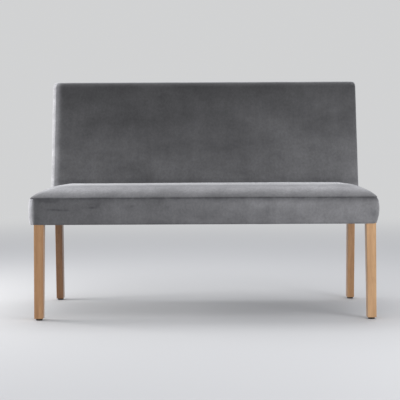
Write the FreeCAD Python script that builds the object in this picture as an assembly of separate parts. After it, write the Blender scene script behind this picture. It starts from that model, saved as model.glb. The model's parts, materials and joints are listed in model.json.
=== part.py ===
# Upholstered dining bench with a padded back, on square wooden legs.
# Millimetres. +Z is up and the front faces -Y. The origin is on the floor, at the middle of the footprint.
import FreeCAD, Part

import math
import os

from FreeCAD import Vector

# Overall frame
FRAME_WIDTH = 1330.0  # across the outer faces of the legs
SEAT_BOTTOM = 373.0  # underside of the seat rails, above the floor
RAIL_HEIGHT = 92.0
RAIL_THICKNESS = 22.0
WOOD_TOP = 946.0  # top of the back uprights, above the floor
UPRIGHT_SETBACK = 468.0  # front of the frame to the front face of the uprights at the seat
UPRIGHT_KNEE_DEPTH = 48.0  # the uprights' depth at the underside of the seat
FRONT_LEAN = math.radians(8.0)  # lean of the uprights' front faces above the seat
REAR_LEAN = math.radians(5.5)  # lean of the uprights' rear faces above the knee

# Legs
FRONT_LEG_TOP_SIZE = 38.0
FRONT_LEG_FOOT_SIZE = 34.0
FRONT_LEG_TOP_GAP = 6.0  # the front legs stop this far below the top of the rails
REAR_LEG_WIDTH = 30.0
REAR_FOOT_RAKE = 32.0  # how much further back the rear feet stand than the knee
REAR_FOOT_DEPTH = 40.0
LEG_EDGE_RADIUS = 2.0
GLIDE_HEIGHT = 7.5
GLIDE_RADIUS = 13.0
GLIDE_EDGE_RADIUS = 1.5
GLIDE_NAIL_RADIUS = 1.2
GLIDE_NAIL_HEAD_RADIUS = 3.5
GLIDE_NAIL_HEAD_THICKNESS = 1.2
GLIDE_NAIL_RECESS = 1.6  # the nail's head sits this far above the floor
GLIDE_NAIL_LENGTH = 18.0

# Rails and braces of the seat
CROSS_RAIL_HEIGHT = 62.0
CROSS_RAIL_SPACING = 444.0  # between the two rails that run front to back
BLOCK_HEIGHT = 60.0
BLOCK_REACH = 70.0  # along each rail, from the leg to the block's tip
BLOCK_LEG_CLEARANCE = 0.3

# Frame of the back
TOP_RAIL_HEIGHT = 60.0
LOWER_RAIL_HEIGHT = 50.0
LOWER_RAIL_RISE = 28.0  # gap between the seat rails and the lower rail of the back
STILE_WIDTH = 45.0
STILE_RECESS = 6.0
STILE_SPACING = 444.0

# Dowels, screws and hanger bolts
DOWEL_RADIUS = 4.0
DOWEL_LENGTH = 32.0
DOWEL_END_GAP = 0.8
DOWEL_CLEARANCE = 0.05
DOWEL_EDGE = 22.0  # from a rail's edge to the nearest dowel
SCREW_RADIUS = 2.2
SCREW_LENGTH = 32.0
SCREW_HEAD_RADIUS = 4.4
SCREW_HEAD_THICKNESS = 2.6
SCREW_SEAT = 13.0  # wood left under the screw's head
SCREW_SPREAD = 30.0  # between the two screws in one face of a block
SCREW_TIP_INSET = 19.0  # from the block's tip to the screw's axis
SCREW_CLEARANCE = 0.1
BOLT_RADIUS = 4.0
BOLT_IN_LEG = 26.0
BOLT_TAIL = 4.0
NUT_ACROSS_FLATS = 13.0
NUT_THICKNESS = 6.5
WASHER_RADIUS = 12.0
WASHER_THICKNESS = 1.6

# Webbing, linings and staples
SEAT_STRAP_COUNT = 11
BACK_STRAP_COUNT = 10
STRAP_WIDTH = 60.0
STRAP_THICKNESS = 1.6
STRAP_MARGIN = 62.0  # outer face of the frame to the middle of the first strap
STRAP_END_GAP = 3.0
LINING_THICKNESS = 0.8
LINING_EDGE_GAP = 2.0
LAYER_GAP = 0.1
STAPLE_CROWN = 10.0
STAPLE_WIRE = 0.6
STAPLE_HEIGHT = 0.5
STAPLE_LEG = 8.0
STRAP_STAPLE_INSET = 8.0
STRAP_STAPLE_PITCH = 24.0

# Padding and cover
COVER_THICKNESS = 1.5
COVER_GAP = 0.3
SEAT_WADDING = 6.0
SIDE_BULGE = 14.0  # how far the padded sides swell past the frame
FRONT_BULGE = 8.0
SEAM_RISE = 8.5  # top of the rails to the seam round the seat's top panel
SEAT_DOME = 50.0  # crown of the seat above that seam
SEAT_ROLL = 90.0  # width of the rounded edge of the seat
SEAT_ROLL_FULLNESS = 1.4  # 2 rounds that edge like a quarter of an ellipse, and less draws it flatter
SEAT_BACK_ROLL_SHARE = 0.3  # the edge against the back is rounded this much as widely
BAND_CORNER_RADIUS = 14.0
SEAT_REAR_CORNER_RADIUS = 4.0
SEAT_TO_BACK_GAP = 1.5
BACK_PADDING = 28.0  # front face of the uprights to the face of the cover, at the edges
BACK_CROWN = 8.0  # how much fuller the middle of the back is than its edges
BACK_WADDING = 6.0
TOP_PADDING = 29.0
TOP_ROLL_HEIGHT = 24.0
TOP_ROLL_FRONT = 26.0
TOP_ROLL_REAR = 12.0
TOP_ROLL_SIDE = 9.0
BACK_CORNER_RADIUS = 16.0
BACK_REAR_CORNER_RADIUS = 9.0
BACK_SKIN = 10.0  # rear face of the uprights to the outer face of the back cover
CARD_THICKNESS = 2.5
CARD_EDGE_GAP = 5.0
OUTER_WADDING = 5.0
OUTER_BACK_LIP = 12.0  # how far the outer back panel wraps round its edges
HEM_WIDTH = 22.0
HEM_LEG_GAP = 2.0
DUST_COVER_THICKNESS = 0.6
DUST_COVER_INSET = 8.0
DUST_COVER_LEG_GAP = 4.0
DUST_STAPLE_PITCH = 84.0
DUST_STAPLE_INSET = 14.0
OVERRUN = 40.0  # how far cutting tools run past what they cut

# Shares of the band's height, and of the bulge that it has there
BAND_BULGE_SHARES = [(0.0, 0.28), (0.27, 0.8), (0.57, 1.0), (0.84, 0.84), (1.0, 0.5)]
# Turns of the rounded edge of the seat, from upright at the seam to level on top
SEAT_ROLL_TURNS = [math.radians(turn) for turn in (0, 14, 30, 46, 62, 76, 90)]
# Shares of the back's padded height where its outline is set, below the roll at the top
BACK_HEIGHT_SHARES = [0.0, 0.2, 0.4, 0.6, 0.8, 0.94]
LOFT_DEGREE = 3  # degree of the smooth surfaces through the outlines
CROWN_FULLNESS_SHARE = 0.6  # exponent of the crown's swell from the edges
LEAST_CROWN_SHARE = 0.08
TOP_ROLL_TURNS = [0.0, math.radians(30), math.radians(55), math.radians(75), math.radians(90)]

# Sizes worked out from the ones above
HALF_WIDTH = FRAME_WIDTH / 2
RAIL_TOP = SEAT_BOTTOM + RAIL_HEIGHT
SEAM_HEIGHT = RAIL_TOP + SEAM_RISE
BAND_HEIGHT = SEAM_HEIGHT - SEAT_BOTTOM
TOTAL_HEIGHT = WOOD_TOP + TOP_PADDING
REAR_TRAVEL = (WOOD_TOP - SEAT_BOTTOM) * math.tan(REAR_LEAN)
OVERALL_DEPTH = FRONT_BULGE + UPRIGHT_SETBACK + UPRIGHT_KNEE_DEPTH + REAR_TRAVEL + BACK_SKIN
FRAME_FRONT = -OVERALL_DEPTH / 2 + FRONT_BULGE
UPRIGHT_FRONT = FRAME_FRONT + UPRIGHT_SETBACK
KNEE_REAR = UPRIGHT_FRONT + UPRIGHT_KNEE_DEPTH
BACK_RAIL_FRONT = KNEE_REAR - RAIL_THICKNESS
SEAT_REAR = UPRIGHT_FRONT - BACK_PADDING - SEAT_TO_BACK_GAP
SIDE_SEAM = SEAT_REAR + SEAT_TO_BACK_GAP / 2  # where the seat's side bands meet the back's side panels
STRAP_TOP = RAIL_TOP + STRAP_THICKNESS
LINING_BOTTOM = STRAP_TOP + STAPLE_HEIGHT + LAYER_GAP
FOAM_BOTTOM = LINING_BOTTOM + LINING_THICKNESS + LAYER_GAP
HEM_BOTTOM = SEAT_BOTTOM - COVER_THICKNESS
LOWER_RAIL_BOTTOM = RAIL_TOP + LOWER_RAIL_RISE
LOWER_RAIL_TOP = LOWER_RAIL_BOTTOM + LOWER_RAIL_HEIGHT
TOP_RAIL_BOTTOM = WOOD_TOP - TOP_RAIL_HEIGHT


def upright_front(z):
    """Y of the uprights' front face at height z, above the seat."""
    return UPRIGHT_FRONT + max(0.0, z - SEAM_HEIGHT) * math.tan(FRONT_LEAN)


def upright_rear(z):
    """Y of the uprights' rear face at height z, above the knee."""
    return KNEE_REAR + (z - SEAT_BOTTOM) * math.tan(REAR_LEAN)


# Basic shapes


def box(x0, x1, y0, y1, z0, z1):
    return Part.makeBox(x1 - x0, y1 - y0, z1 - z0, Vector(x0, y0, z0))


def prism(points, direction):
    """A closed outline swept along a direction."""
    wire = Part.makePolygon(points + points[:1])
    return Part.Face(wire).extrude(direction)


def prism_across(outline, x0, x1):
    """An outline of (y, z) points, swept from x0 to x1."""
    return prism([Vector(x0, y, z) for y, z in outline], Vector(x1 - x0, 0, 0))


def rod(start, direction, length, radius):
    return Part.makeCylinder(radius, length, start, direction)


def arc(start, middle, end):
    return Part.Arc(start, middle, end).toShape()


def rounded_outline(half_width, front, rear, front_radius, rear_radius, swell, z):
    """A rounded rectangle at height z, whose front side swells forwards in its middle."""
    corners = [
        (-half_width, front, front_radius, math.radians(180)),
        (half_width, front, front_radius, math.radians(270)),
        (half_width, rear, rear_radius, 0.0),
        (-half_width, rear, rear_radius, math.radians(90)),
    ]
    quarter = math.radians(90)
    arcs = []
    for x, y, radius, start_turn in corners:
        centre = Vector(x - math.copysign(radius, x), y + (radius if y == front else -radius), z)
        turns = [start_turn, start_turn + quarter / 2, start_turn + quarter]
        arcs.append([centre + Vector(radius * math.cos(a), radius * math.sin(a), 0) for a in turns])
    edges = []
    for i, (start, middle, end) in enumerate(arcs):
        edges.append(arc(start, middle, end))
        following = arcs[(i + 1) % len(arcs)][0]
        if i == 0 and swell:
            edges.append(arc(end, Vector(0, front - swell, z), following))
        else:
            edges.append(Part.LineSegment(end, following).toShape())
    return Part.Wire(edges)


def loft(wires):
    return Part.makeLoft(wires, True, False, False, LOFT_DEGREE)


def cut_all(shape, tools):
    return shape.cut(tools) if tools else shape


def mirrored(shape):
    return shape.mirror(Vector(0, 0, 0), Vector(1, 0, 0))


# Wooden frame


def rounded_rectangle(x0, x1, y0, y1, radius, z):
    """A level rectangle with rounded corners."""
    centres = [(x1 - radius, y1 - radius), (x0 + radius, y1 - radius),
               (x0 + radius, y0 + radius), (x1 - radius, y0 + radius)]
    quarter = math.radians(90)
    arcs = []
    for i, (x, y) in enumerate(centres):
        turns = [i * quarter, (i + 1 / 2) * quarter, (i + 1) * quarter]
        arcs.append([Vector(x + radius * math.cos(a), y + radius * math.sin(a), z) for a in turns])
    edges = []
    for i, (start, middle, end) in enumerate(arcs):
        edges.append(arc(start, middle, end))
        edges.append(Part.LineSegment(end, arcs[(i + 1) % len(arcs)][0]).toShape())
    return Part.Wire(edges)


def front_leg():
    """The right front leg: square, tapered on its two inner faces below the seat."""
    foot, head = FRONT_LEG_FOOT_SIZE, FRONT_LEG_TOP_SIZE
    shown = loft([
        rounded_rectangle(HALF_WIDTH - size, HALF_WIDTH, FRAME_FRONT, FRAME_FRONT + size,
                          LEG_EDGE_RADIUS, z)
        for size, z in ((foot, GLIDE_HEIGHT), (head, SEAT_BOTTOM))
    ])
    hidden = box(
        HALF_WIDTH - head, HALF_WIDTH, FRAME_FRONT, FRAME_FRONT + head,
        SEAT_BOTTOM, RAIL_TOP - FRONT_LEG_TOP_GAP,
    )
    return shown.fuse(hidden)


def rear_leg():
    """The right rear leg and back upright, sawn from one board: raked below the seat, leaning above."""
    inner = HALF_WIDTH - REAR_LEG_WIDTH
    foot_front = UPRIGHT_FRONT + REAR_FOOT_RAKE
    shown = loft([
        rounded_rectangle(inner, HALF_WIDTH, front, rear, LEG_EDGE_RADIUS, z)
        for front, rear, z in (
            (foot_front, foot_front + REAR_FOOT_DEPTH, GLIDE_HEIGHT),
            (UPRIGHT_FRONT, KNEE_REAR, SEAT_BOTTOM),
        )
    ])
    outline = [
        (UPRIGHT_FRONT, SEAT_BOTTOM),
        (UPRIGHT_FRONT, SEAM_HEIGHT),
        (upright_front(WOOD_TOP), WOOD_TOP),
        (upright_rear(WOOD_TOP), WOOD_TOP),
        (KNEE_REAR, SEAT_BOTTOM),
    ]
    return shown.fuse(prism_across(outline, inner, HALF_WIDTH))


def leaning_board(x0, x1, z0, z1, recess):
    """A board in the back's frame, its face parallel to the uprights' front faces."""
    outline = [
        (upright_front(z0) + recess, z0),
        (upright_front(z1) + recess, z1),
        (upright_front(z1) + recess + RAIL_THICKNESS, z1),
        (upright_front(z0) + recess + RAIL_THICKNESS, z0),
    ]
    return prism_across(outline, x0, x1)


def frame_boards():
    leg_inner = HALF_WIDTH - FRONT_LEG_TOP_SIZE
    upright_inner = HALF_WIDTH - REAR_LEG_WIDTH
    front_inner = FRAME_FRONT + RAIL_THICKNESS
    side_rail = box(
        HALF_WIDTH - RAIL_THICKNESS, HALF_WIDTH,
        FRAME_FRONT + FRONT_LEG_TOP_SIZE, UPRIGHT_FRONT, SEAT_BOTTOM, RAIL_TOP,
    )
    cross_rail = box(
        CROSS_RAIL_SPACING / 2 - RAIL_THICKNESS / 2, CROSS_RAIL_SPACING / 2 + RAIL_THICKNESS / 2,
        front_inner, BACK_RAIL_FRONT, SEAT_BOTTOM, SEAT_BOTTOM + CROSS_RAIL_HEIGHT,
    )
    stile = leaning_board(
        STILE_SPACING / 2 - STILE_WIDTH / 2, STILE_SPACING / 2 + STILE_WIDTH / 2,
        LOWER_RAIL_TOP, TOP_RAIL_BOTTOM, STILE_RECESS,
    )
    return {
        "front_leg_right": front_leg(),
        "front_leg_left": mirrored(front_leg()),
        "back_leg_right": rear_leg(),
        "back_leg_left": mirrored(rear_leg()),
        "front_rail": box(-leg_inner, leg_inner, FRAME_FRONT, front_inner, SEAT_BOTTOM, RAIL_TOP),
        "back_rail": box(
            -upright_inner, upright_inner, BACK_RAIL_FRONT, KNEE_REAR, SEAT_BOTTOM, RAIL_TOP
        ),
        "side_rail_right": side_rail,
        "side_rail_left": mirrored(side_rail),
        "seat_cross_rail_right": cross_rail,
        "seat_cross_rail_left": mirrored(cross_rail),
        "back_top_rail": leaning_board(-upright_inner, upright_inner, TOP_RAIL_BOTTOM, WOOD_TOP, 0.0),
        "back_lower_rail": leaning_board(
            -upright_inner, upright_inner, LOWER_RAIL_BOTTOM, LOWER_RAIL_TOP, 0.0
        ),
        "back_stile_right": stile,
        "back_stile_left": mirrored(stile),
    }


# Corner blocks with their screws and hanger bolts


class Corner:
    """The inside of one seat corner. u runs inwards from the frame's side and v from a rail's outer face."""

    def __init__(self, side, depth_sign, v_origin, u_leg, v_leg, v_rail):
        self.side = side
        self.depth_sign = depth_sign
        self.v_origin = v_origin
        self.u_leg = u_leg
        self.v_leg = v_leg
        self.v_rail = v_rail

    def point(self, u, v, z):
        return Vector(self.side * (HALF_WIDTH - u), self.v_origin + self.depth_sign * v, z)

    def direction(self, u, v):
        return Vector(-self.side * u, self.depth_sign * v, 0)


def corners():
    """The four corners by name. The v axis starts at the front rail's or the back rail's outer face."""
    found = {}
    for name, side in (("left", -1), ("right", 1)):
        leg = FRONT_LEG_TOP_SIZE
        found["front_" + name] = Corner(side, 1, FRAME_FRONT, leg, leg, RAIL_THICKNESS)
        found["back_" + name] = Corner(
            side, -1, KNEE_REAR, REAR_LEG_WIDTH, UPRIGHT_KNEE_DEPTH, RAIL_THICKNESS
        )
    return found


def corner_block(corner):
    """A glue block in the corner, notched round the leg, with its long face at 45 degrees."""
    u_leg = corner.u_leg + BLOCK_LEG_CLEARANCE
    v_leg = corner.v_leg + BLOCK_LEG_CLEARANCE
    tip_v = v_leg + BLOCK_REACH
    tip_u = RAIL_THICKNESS + tip_v - corner.v_rail
    low = SEAT_BOTTOM + (RAIL_HEIGHT - BLOCK_HEIGHT) / 2
    plan = [
        (u_leg, corner.v_rail), (tip_u, corner.v_rail), (RAIL_THICKNESS, tip_v),
        (RAIL_THICKNESS, v_leg), (u_leg, v_leg),
    ]
    return prism([corner.point(u, v, low) for u, v in plan], Vector(0, 0, BLOCK_HEIGHT))


def block_screws(corner):
    """Start, direction and head seat of the four screws that hold one block to its two rails."""
    tip_v = corner.v_leg + BLOCK_LEG_CLEARANCE + BLOCK_REACH
    tip_u = RAIL_THICKNESS + tip_v - corner.v_rail
    middle = SEAT_BOTTOM + RAIL_HEIGHT / 2
    heights = (middle - SCREW_SPREAD / 2, middle + SCREW_SPREAD / 2)
    placed = []
    for z in heights:
        into_rail = corner.point(tip_u - SCREW_TIP_INSET, corner.v_rail + SCREW_SEAT, z)
        placed.append((into_rail, corner.direction(0, -1)))
        into_side = corner.point(RAIL_THICKNESS + SCREW_SEAT, tip_v - SCREW_TIP_INSET, z)
        placed.append((into_side, corner.direction(-1, 0)))
    return placed


def screw(seat, direction):
    shank = rod(seat, direction, SCREW_LENGTH - SCREW_HEAD_THICKNESS, SCREW_RADIUS)
    head = rod(seat, -direction, SCREW_HEAD_THICKNESS, SCREW_HEAD_RADIUS)
    return shank.fuse(head)


def screw_hole(seat, direction):
    shank = rod(seat, direction, SCREW_LENGTH, SCREW_RADIUS + SCREW_CLEARANCE)
    recess = rod(seat, -direction, OVERRUN, SCREW_HEAD_RADIUS + SCREW_CLEARANCE)
    return shank.fuse(recess)


def hanger_bolt(corner):
    """Start, direction, grip and length of the bolt that pulls a front leg into its corner."""
    diagonal = corner.direction(1, 1).normalize()
    middle = SEAT_BOTTOM + RAIL_HEIGHT / 2
    leg_corner = corner.point(corner.u_leg, corner.v_leg, middle)
    tip_v = corner.v_leg + BLOCK_LEG_CLEARANCE + BLOCK_REACH
    face_sum = RAIL_THICKNESS + tip_v
    grip = (face_sum - corner.u_leg - corner.v_leg) / math.sqrt(2)
    start = leg_corner - diagonal * BOLT_IN_LEG
    length = BOLT_IN_LEG + grip + WASHER_THICKNESS + NUT_THICKNESS + BOLT_TAIL
    return start, diagonal, leg_corner + diagonal * grip, length


def hexagon(centre, direction, thickness, across_flats):
    """A hexagonal prism whose axis is a level direction."""
    reach = across_flats / math.sqrt(3)
    level = direction.cross(Vector(0, 0, 1)).normalize()
    turns = [math.radians(60 * i) for i in range(6)]
    rim = [centre + level * (reach * math.cos(a)) + Vector(0, 0, reach * math.sin(a)) for a in turns]
    return prism(rim, direction * thickness)


def add_corner_blocks(parts):
    screws, bolts, nuts, washers = [], [], [], []
    for name, corner in corners().items():
        block = corner_block(corner)
        placed = block_screws(corner)
        holes = [screw_hole(seat, direction) for seat, direction in placed]
        screws += [screw(seat, direction) for seat, direction in placed]
        end_rail = "front_rail" if name.startswith("front") else "back_rail"
        side = name.split("_")[1]
        for rail in (end_rail, "side_rail_" + side):
            parts[rail] = cut_all(parts[rail], holes)
        if name.startswith("front"):
            start, diagonal, face, length = hanger_bolt(corner)
            holes.append(rod(start, diagonal, length, BOLT_RADIUS + DOWEL_CLEARANCE))
            pocket = rod(start, diagonal, BOLT_IN_LEG + OVERRUN, BOLT_RADIUS + DOWEL_CLEARANCE)
            leg = "front_leg_" + side
            parts[leg] = parts[leg].cut(pocket)
            bolts.append(rod(start, diagonal, length, BOLT_RADIUS))
            bore = rod(start, diagonal, length + OVERRUN, BOLT_RADIUS + DOWEL_CLEARANCE)
            washer = rod(face, diagonal, WASHER_THICKNESS, WASHER_RADIUS)
            washers.append(washer.cut(bore))
            nut_start = face + diagonal * WASHER_THICKNESS
            nuts.append(hexagon(nut_start, diagonal, NUT_THICKNESS, NUT_ACROSS_FLATS).cut(bore))
        parts["corner_block_" + name] = cut_all(block, holes)
    parts["corner_block_screws"] = Part.makeCompound(screws)
    parts["leg_hanger_bolts"] = Part.makeCompound(bolts)
    parts["leg_bolt_nuts"] = Part.makeCompound(nuts)
    parts["leg_bolt_washers"] = Part.makeCompound(washers)


# Dowels


def dowel_joints():
    """Each dowel's middle, its axis, and the two boards that it joins."""
    across = Vector(1, 0, 0)
    along = Vector(0, 1, 0)
    joints = []
    rail_heights = (SEAT_BOTTOM + DOWEL_EDGE, RAIL_TOP - DOWEL_EDGE)
    for side, name in ((-1, "left"), (1, "right")):
        leg = "back_leg_" + name
        upright_face = side * (HALF_WIDTH - REAR_LEG_WIDTH)
        for z in rail_heights:
            middle_x = side * (HALF_WIDTH - RAIL_THICKNESS / 2)
            joints.append((Vector(middle_x, UPRIGHT_FRONT, z), along, "side_rail_" + name, leg))
            middle_y = BACK_RAIL_FRONT + RAIL_THICKNESS / 2
            joints.append((Vector(upright_face, middle_y, z), across, "back_rail", leg))
        for rail, low, high in (
            ("back_top_rail", TOP_RAIL_BOTTOM, WOOD_TOP),
            ("back_lower_rail", LOWER_RAIL_BOTTOM, LOWER_RAIL_TOP),
        ):
            for z in (low + DOWEL_EDGE / 2, high - DOWEL_EDGE / 2):
                middle_y = upright_front(z) + RAIL_THICKNESS / 2
                joints.append((Vector(upright_face, middle_y, z), across, rail, leg))
        cross = "seat_cross_rail_" + name
        for z in (SEAT_BOTTOM + DOWEL_EDGE / 2, SEAT_BOTTOM + CROSS_RAIL_HEIGHT - DOWEL_EDGE / 2):
            x = side * CROSS_RAIL_SPACING / 2
            front_face = FRAME_FRONT + RAIL_THICKNESS
            joints.append((Vector(x, front_face, z), along, cross, "front_rail"))
            joints.append((Vector(x, BACK_RAIL_FRONT, z), along, cross, "back_rail"))
        stile = "back_stile_" + name
        lean = Vector(0, math.sin(FRONT_LEAN), math.cos(FRONT_LEAN))
        for z, rail in ((LOWER_RAIL_TOP, "back_lower_rail"), (TOP_RAIL_BOTTOM, "back_top_rail")):
            for offset in (-DOWEL_EDGE / 2, DOWEL_EDGE / 2):
                x = side * STILE_SPACING / 2 + offset
                y = upright_front(z) + (RAIL_THICKNESS + STILE_RECESS) / 2
                joints.append((Vector(x, y, z), lean, stile, rail))
    return joints


def add_dowels(parts):
    dowels = []
    holes = {}
    for middle, axis, first, second in dowel_joints():
        depth = min(DOWEL_LENGTH / 2, RAIL_THICKNESS - DOWEL_RADIUS)
        dowels.append(rod(middle - axis * depth, axis, 2 * depth, DOWEL_RADIUS))
        reach = depth + DOWEL_END_GAP
        hole = rod(middle - axis * reach, axis, 2 * reach, DOWEL_RADIUS + DOWEL_CLEARANCE)
        for board in (first, second):
            holes.setdefault(board, []).append(hole)
    for board, tools in holes.items():
        parts[board] = cut_all(parts[board], tools)
    parts["frame_dowels"] = Part.makeCompound(dowels)


# Glides under the legs


def foot_centres():
    """Middle of each foot on the floor: front pair, then rear pair."""
    front_x = HALF_WIDTH - FRONT_LEG_FOOT_SIZE / 2
    front_y = FRAME_FRONT + FRONT_LEG_FOOT_SIZE / 2
    rear_x = HALF_WIDTH - REAR_LEG_WIDTH / 2
    rear_y = UPRIGHT_FRONT + REAR_FOOT_RAKE + REAR_FOOT_DEPTH / 2
    return {
        "front_leg_left": Vector(-front_x, front_y, 0),
        "front_leg_right": Vector(front_x, front_y, 0),
        "back_leg_left": Vector(-rear_x, rear_y, 0),
        "back_leg_right": Vector(rear_x, rear_y, 0),
    }


def add_glides(parts):
    up = Vector(0, 0, 1)
    glides, nails = [], []
    for leg, centre in foot_centres().items():
        disc = rod(centre, up, GLIDE_HEIGHT, GLIDE_RADIUS)
        rim = [e for e in disc.Edges if e.BoundBox.ZMax < GLIDE_EDGE_RADIUS]
        disc = disc.makeFillet(GLIDE_EDGE_RADIUS, rim)
        head_start = centre + up * GLIDE_NAIL_RECESS
        head = rod(head_start, up, GLIDE_NAIL_HEAD_THICKNESS, GLIDE_NAIL_HEAD_RADIUS)
        nail = head.fuse(rod(head_start, up, GLIDE_NAIL_LENGTH, GLIDE_NAIL_RADIUS))
        bore = rod(centre, up, OVERRUN, GLIDE_NAIL_RADIUS + DOWEL_CLEARANCE)
        recess_depth = GLIDE_NAIL_RECESS + GLIDE_NAIL_HEAD_THICKNESS
        recess = rod(centre, up, recess_depth, GLIDE_NAIL_HEAD_RADIUS + DOWEL_CLEARANCE)
        glides.append(cut_all(disc, [bore, recess]))
        nails.append(nail)
        nail_hole = rod(head_start, up, GLIDE_NAIL_LENGTH + DOWEL_END_GAP, GLIDE_NAIL_RADIUS)
        parts[leg] = parts[leg].cut(nail_hole)
    parts["leg_glides"] = Part.makeCompound(glides)
    parts["glide_nails"] = Part.makeCompound(nails)


# Webbing and its staples


def staple(middle, across, into):
    """A flat staple: its crown lies across, and two prongs go into the wood. Returns staple and prongs."""
    side = across.cross(into)
    corner = middle - across * (STAPLE_CROWN / 2) - side * (STAPLE_WIRE / 2) - into * STAPLE_HEIGHT
    rim = [
        corner, corner + across * STAPLE_CROWN,
        corner + across * STAPLE_CROWN + side * STAPLE_WIRE, corner + side * STAPLE_WIRE,
    ]
    crown = prism(rim, into * STAPLE_HEIGHT)
    prongs = []
    for start in (corner, corner + across * (STAPLE_CROWN - STAPLE_WIRE)):
        base = start + into * STAPLE_HEIGHT
        rim = [
            base, base + across * STAPLE_WIRE,
            base + across * STAPLE_WIRE + side * STAPLE_WIRE, base + side * STAPLE_WIRE,
        ]
        prongs.append(prism(rim, into * STAPLE_LEG))
    return crown.multiFuse(prongs).removeSplitter(), prongs


def strap_places(count):
    """X of each strap's middle."""
    first = -HALF_WIDTH + STRAP_MARGIN + STRAP_WIDTH / 2
    pitch = -2 * first / (count - 1)
    return [first + i * pitch for i in range(count)]


def staple_places(middle):
    return [middle - STRAP_STAPLE_PITCH / 2, middle + STRAP_STAPLE_PITCH / 2]


def add_seat_webbing(parts):
    across, down = Vector(1, 0, 0), Vector(0, 0, -1)
    start, end = FRAME_FRONT + STRAP_END_GAP, KNEE_REAR - STRAP_END_GAP
    rows = {"front_rail": start + STRAP_STAPLE_INSET, "back_rail": end - STRAP_STAPLE_INSET}
    straps, staples = [], []
    slots = {"front_rail": [], "back_rail": []}
    for middle in strap_places(SEAT_STRAP_COUNT):
        left, right = middle - STRAP_WIDTH / 2, middle + STRAP_WIDTH / 2
        strap = box(left, right, start, end, RAIL_TOP, STRAP_TOP)
        for rail, y in rows.items():
            for x in staple_places(middle):
                made, prongs = staple(Vector(x, y, STRAP_TOP), across, down)
                staples.append(made)
                slots[rail] += prongs
                strap = cut_all(strap, prongs)
        straps.append(strap)
    for rail, prongs in slots.items():
        parts[rail] = cut_all(parts[rail], prongs)
    parts["seat_webbing"] = Part.makeCompound(straps)
    parts["seat_webbing_staples"] = Part.makeCompound(staples)
    edge = HALF_WIDTH - REAR_LEG_WIDTH - LINING_EDGE_GAP
    parts["seat_lining"] = box(
        -edge, edge, FRAME_FRONT + LINING_EDGE_GAP, KNEE_REAR - LINING_EDGE_GAP,
        LINING_BOTTOM, LINING_BOTTOM + LINING_THICKNESS,
    )


def slope_point(x, z, out):
    """A point out mm in front of the uprights' front plane, level with height z on that plane."""
    outwards = Vector(0, -math.cos(FRONT_LEAN), math.sin(FRONT_LEAN))
    return Vector(x, upright_front(z), z) + outwards * out


def slope_sheet(x0, x1, z0, z1, near, far):
    """A sheet parallel to the back's front plane, from near to far in front of it."""
    rim = [
        slope_point(x0, z0, near), slope_point(x0, z1, near),
        slope_point(x0, z1, far), slope_point(x0, z0, far),
    ]
    return prism(rim, Vector(x1 - x0, 0, 0))


def add_back_webbing(parts):
    across = Vector(1, 0, 0)
    into = Vector(0, math.cos(FRONT_LEAN), -math.sin(FRONT_LEAN))
    low, high = LOWER_RAIL_BOTTOM + STRAP_END_GAP, WOOD_TOP - STRAP_END_GAP
    rows = {"back_lower_rail": low + STRAP_STAPLE_INSET, "back_top_rail": high - STRAP_STAPLE_INSET}
    straps, staples = [], []
    slots = {rail: [] for rail in rows}
    for middle in strap_places(BACK_STRAP_COUNT):
        left, right = middle - STRAP_WIDTH / 2, middle + STRAP_WIDTH / 2
        strap = slope_sheet(left, right, low, high, 0.0, STRAP_THICKNESS)
        for rail, z in rows.items():
            for x in staple_places(middle):
                made, prongs = staple(slope_point(x, z, STRAP_THICKNESS), across, into)
                staples.append(made)
                slots[rail] += prongs
                strap = cut_all(strap, prongs)
        straps.append(strap)
    for rail, prongs in slots.items():
        parts[rail] = cut_all(parts[rail], prongs)
    parts["back_webbing"] = Part.makeCompound(straps)
    parts["back_webbing_staples"] = Part.makeCompound(staples)
    near = STRAP_THICKNESS + STAPLE_HEIGHT + LAYER_GAP
    edge = HALF_WIDTH - LINING_EDGE_GAP
    parts["back_lining"] = slope_sheet(
        -edge, edge, LOWER_RAIL_BOTTOM, WOOD_TOP - LINING_EDGE_GAP, near, near + LINING_THICKNESS
    )


# Outer forms of the padding


def band_form(inset, rear):
    """The boxed lower part of the seat, from the underside to the seam, drawn in at both."""
    wires = []
    for height_share, bulge_share in BAND_BULGE_SHARES:
        wires.append(rounded_outline(
            HALF_WIDTH + SIDE_BULGE * bulge_share - inset,
            FRAME_FRONT - FRONT_BULGE * bulge_share + inset,
            rear, BAND_CORNER_RADIUS - inset, SEAT_REAR_CORNER_RADIUS, 0.0,
            SEAT_BOTTOM + BAND_HEIGHT * height_share,
        ))
    return loft(wires)


def pillow_form(inset):
    """The crowned top of the seat, above the seam."""
    seam_bulge_share = BAND_BULGE_SHARES[-1][1]
    half = HALF_WIDTH + SIDE_BULGE * seam_bulge_share - inset
    front = FRAME_FRONT - FRONT_BULGE * seam_bulge_share + inset
    rear = SEAT_REAR - inset
    power = 2 / SEAT_ROLL_FULLNESS
    wires = []
    for turn in SEAT_ROLL_TURNS:
        level = max(0.0, math.cos(turn)) ** power
        drawn = SEAT_ROLL * (1 - level)
        rear_drawn = drawn * SEAT_BACK_ROLL_SHARE
        wires.append(rounded_outline(
            half - drawn, front + drawn, rear - rear_drawn,
            BAND_CORNER_RADIUS - inset + drawn / 2, SEAT_REAR_CORNER_RADIUS + rear_drawn,
            0.0, SEAM_HEIGHT + (SEAT_DOME - inset) * math.sin(turn) ** power,
        ))
    return loft(wires)


def seat_form(inset, rear):
    return band_form(inset, rear).fuse(pillow_form(inset))


def lower_back_sections():
    """Height, side bulge share and roll share of the back's outlines beside and behind the seat."""
    return [
        (SEAT_BOTTOM + BAND_HEIGHT * height_share, bulge_share, 0.0)
        for height_share, bulge_share in BAND_BULGE_SHARES[:3]
    ]


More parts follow.
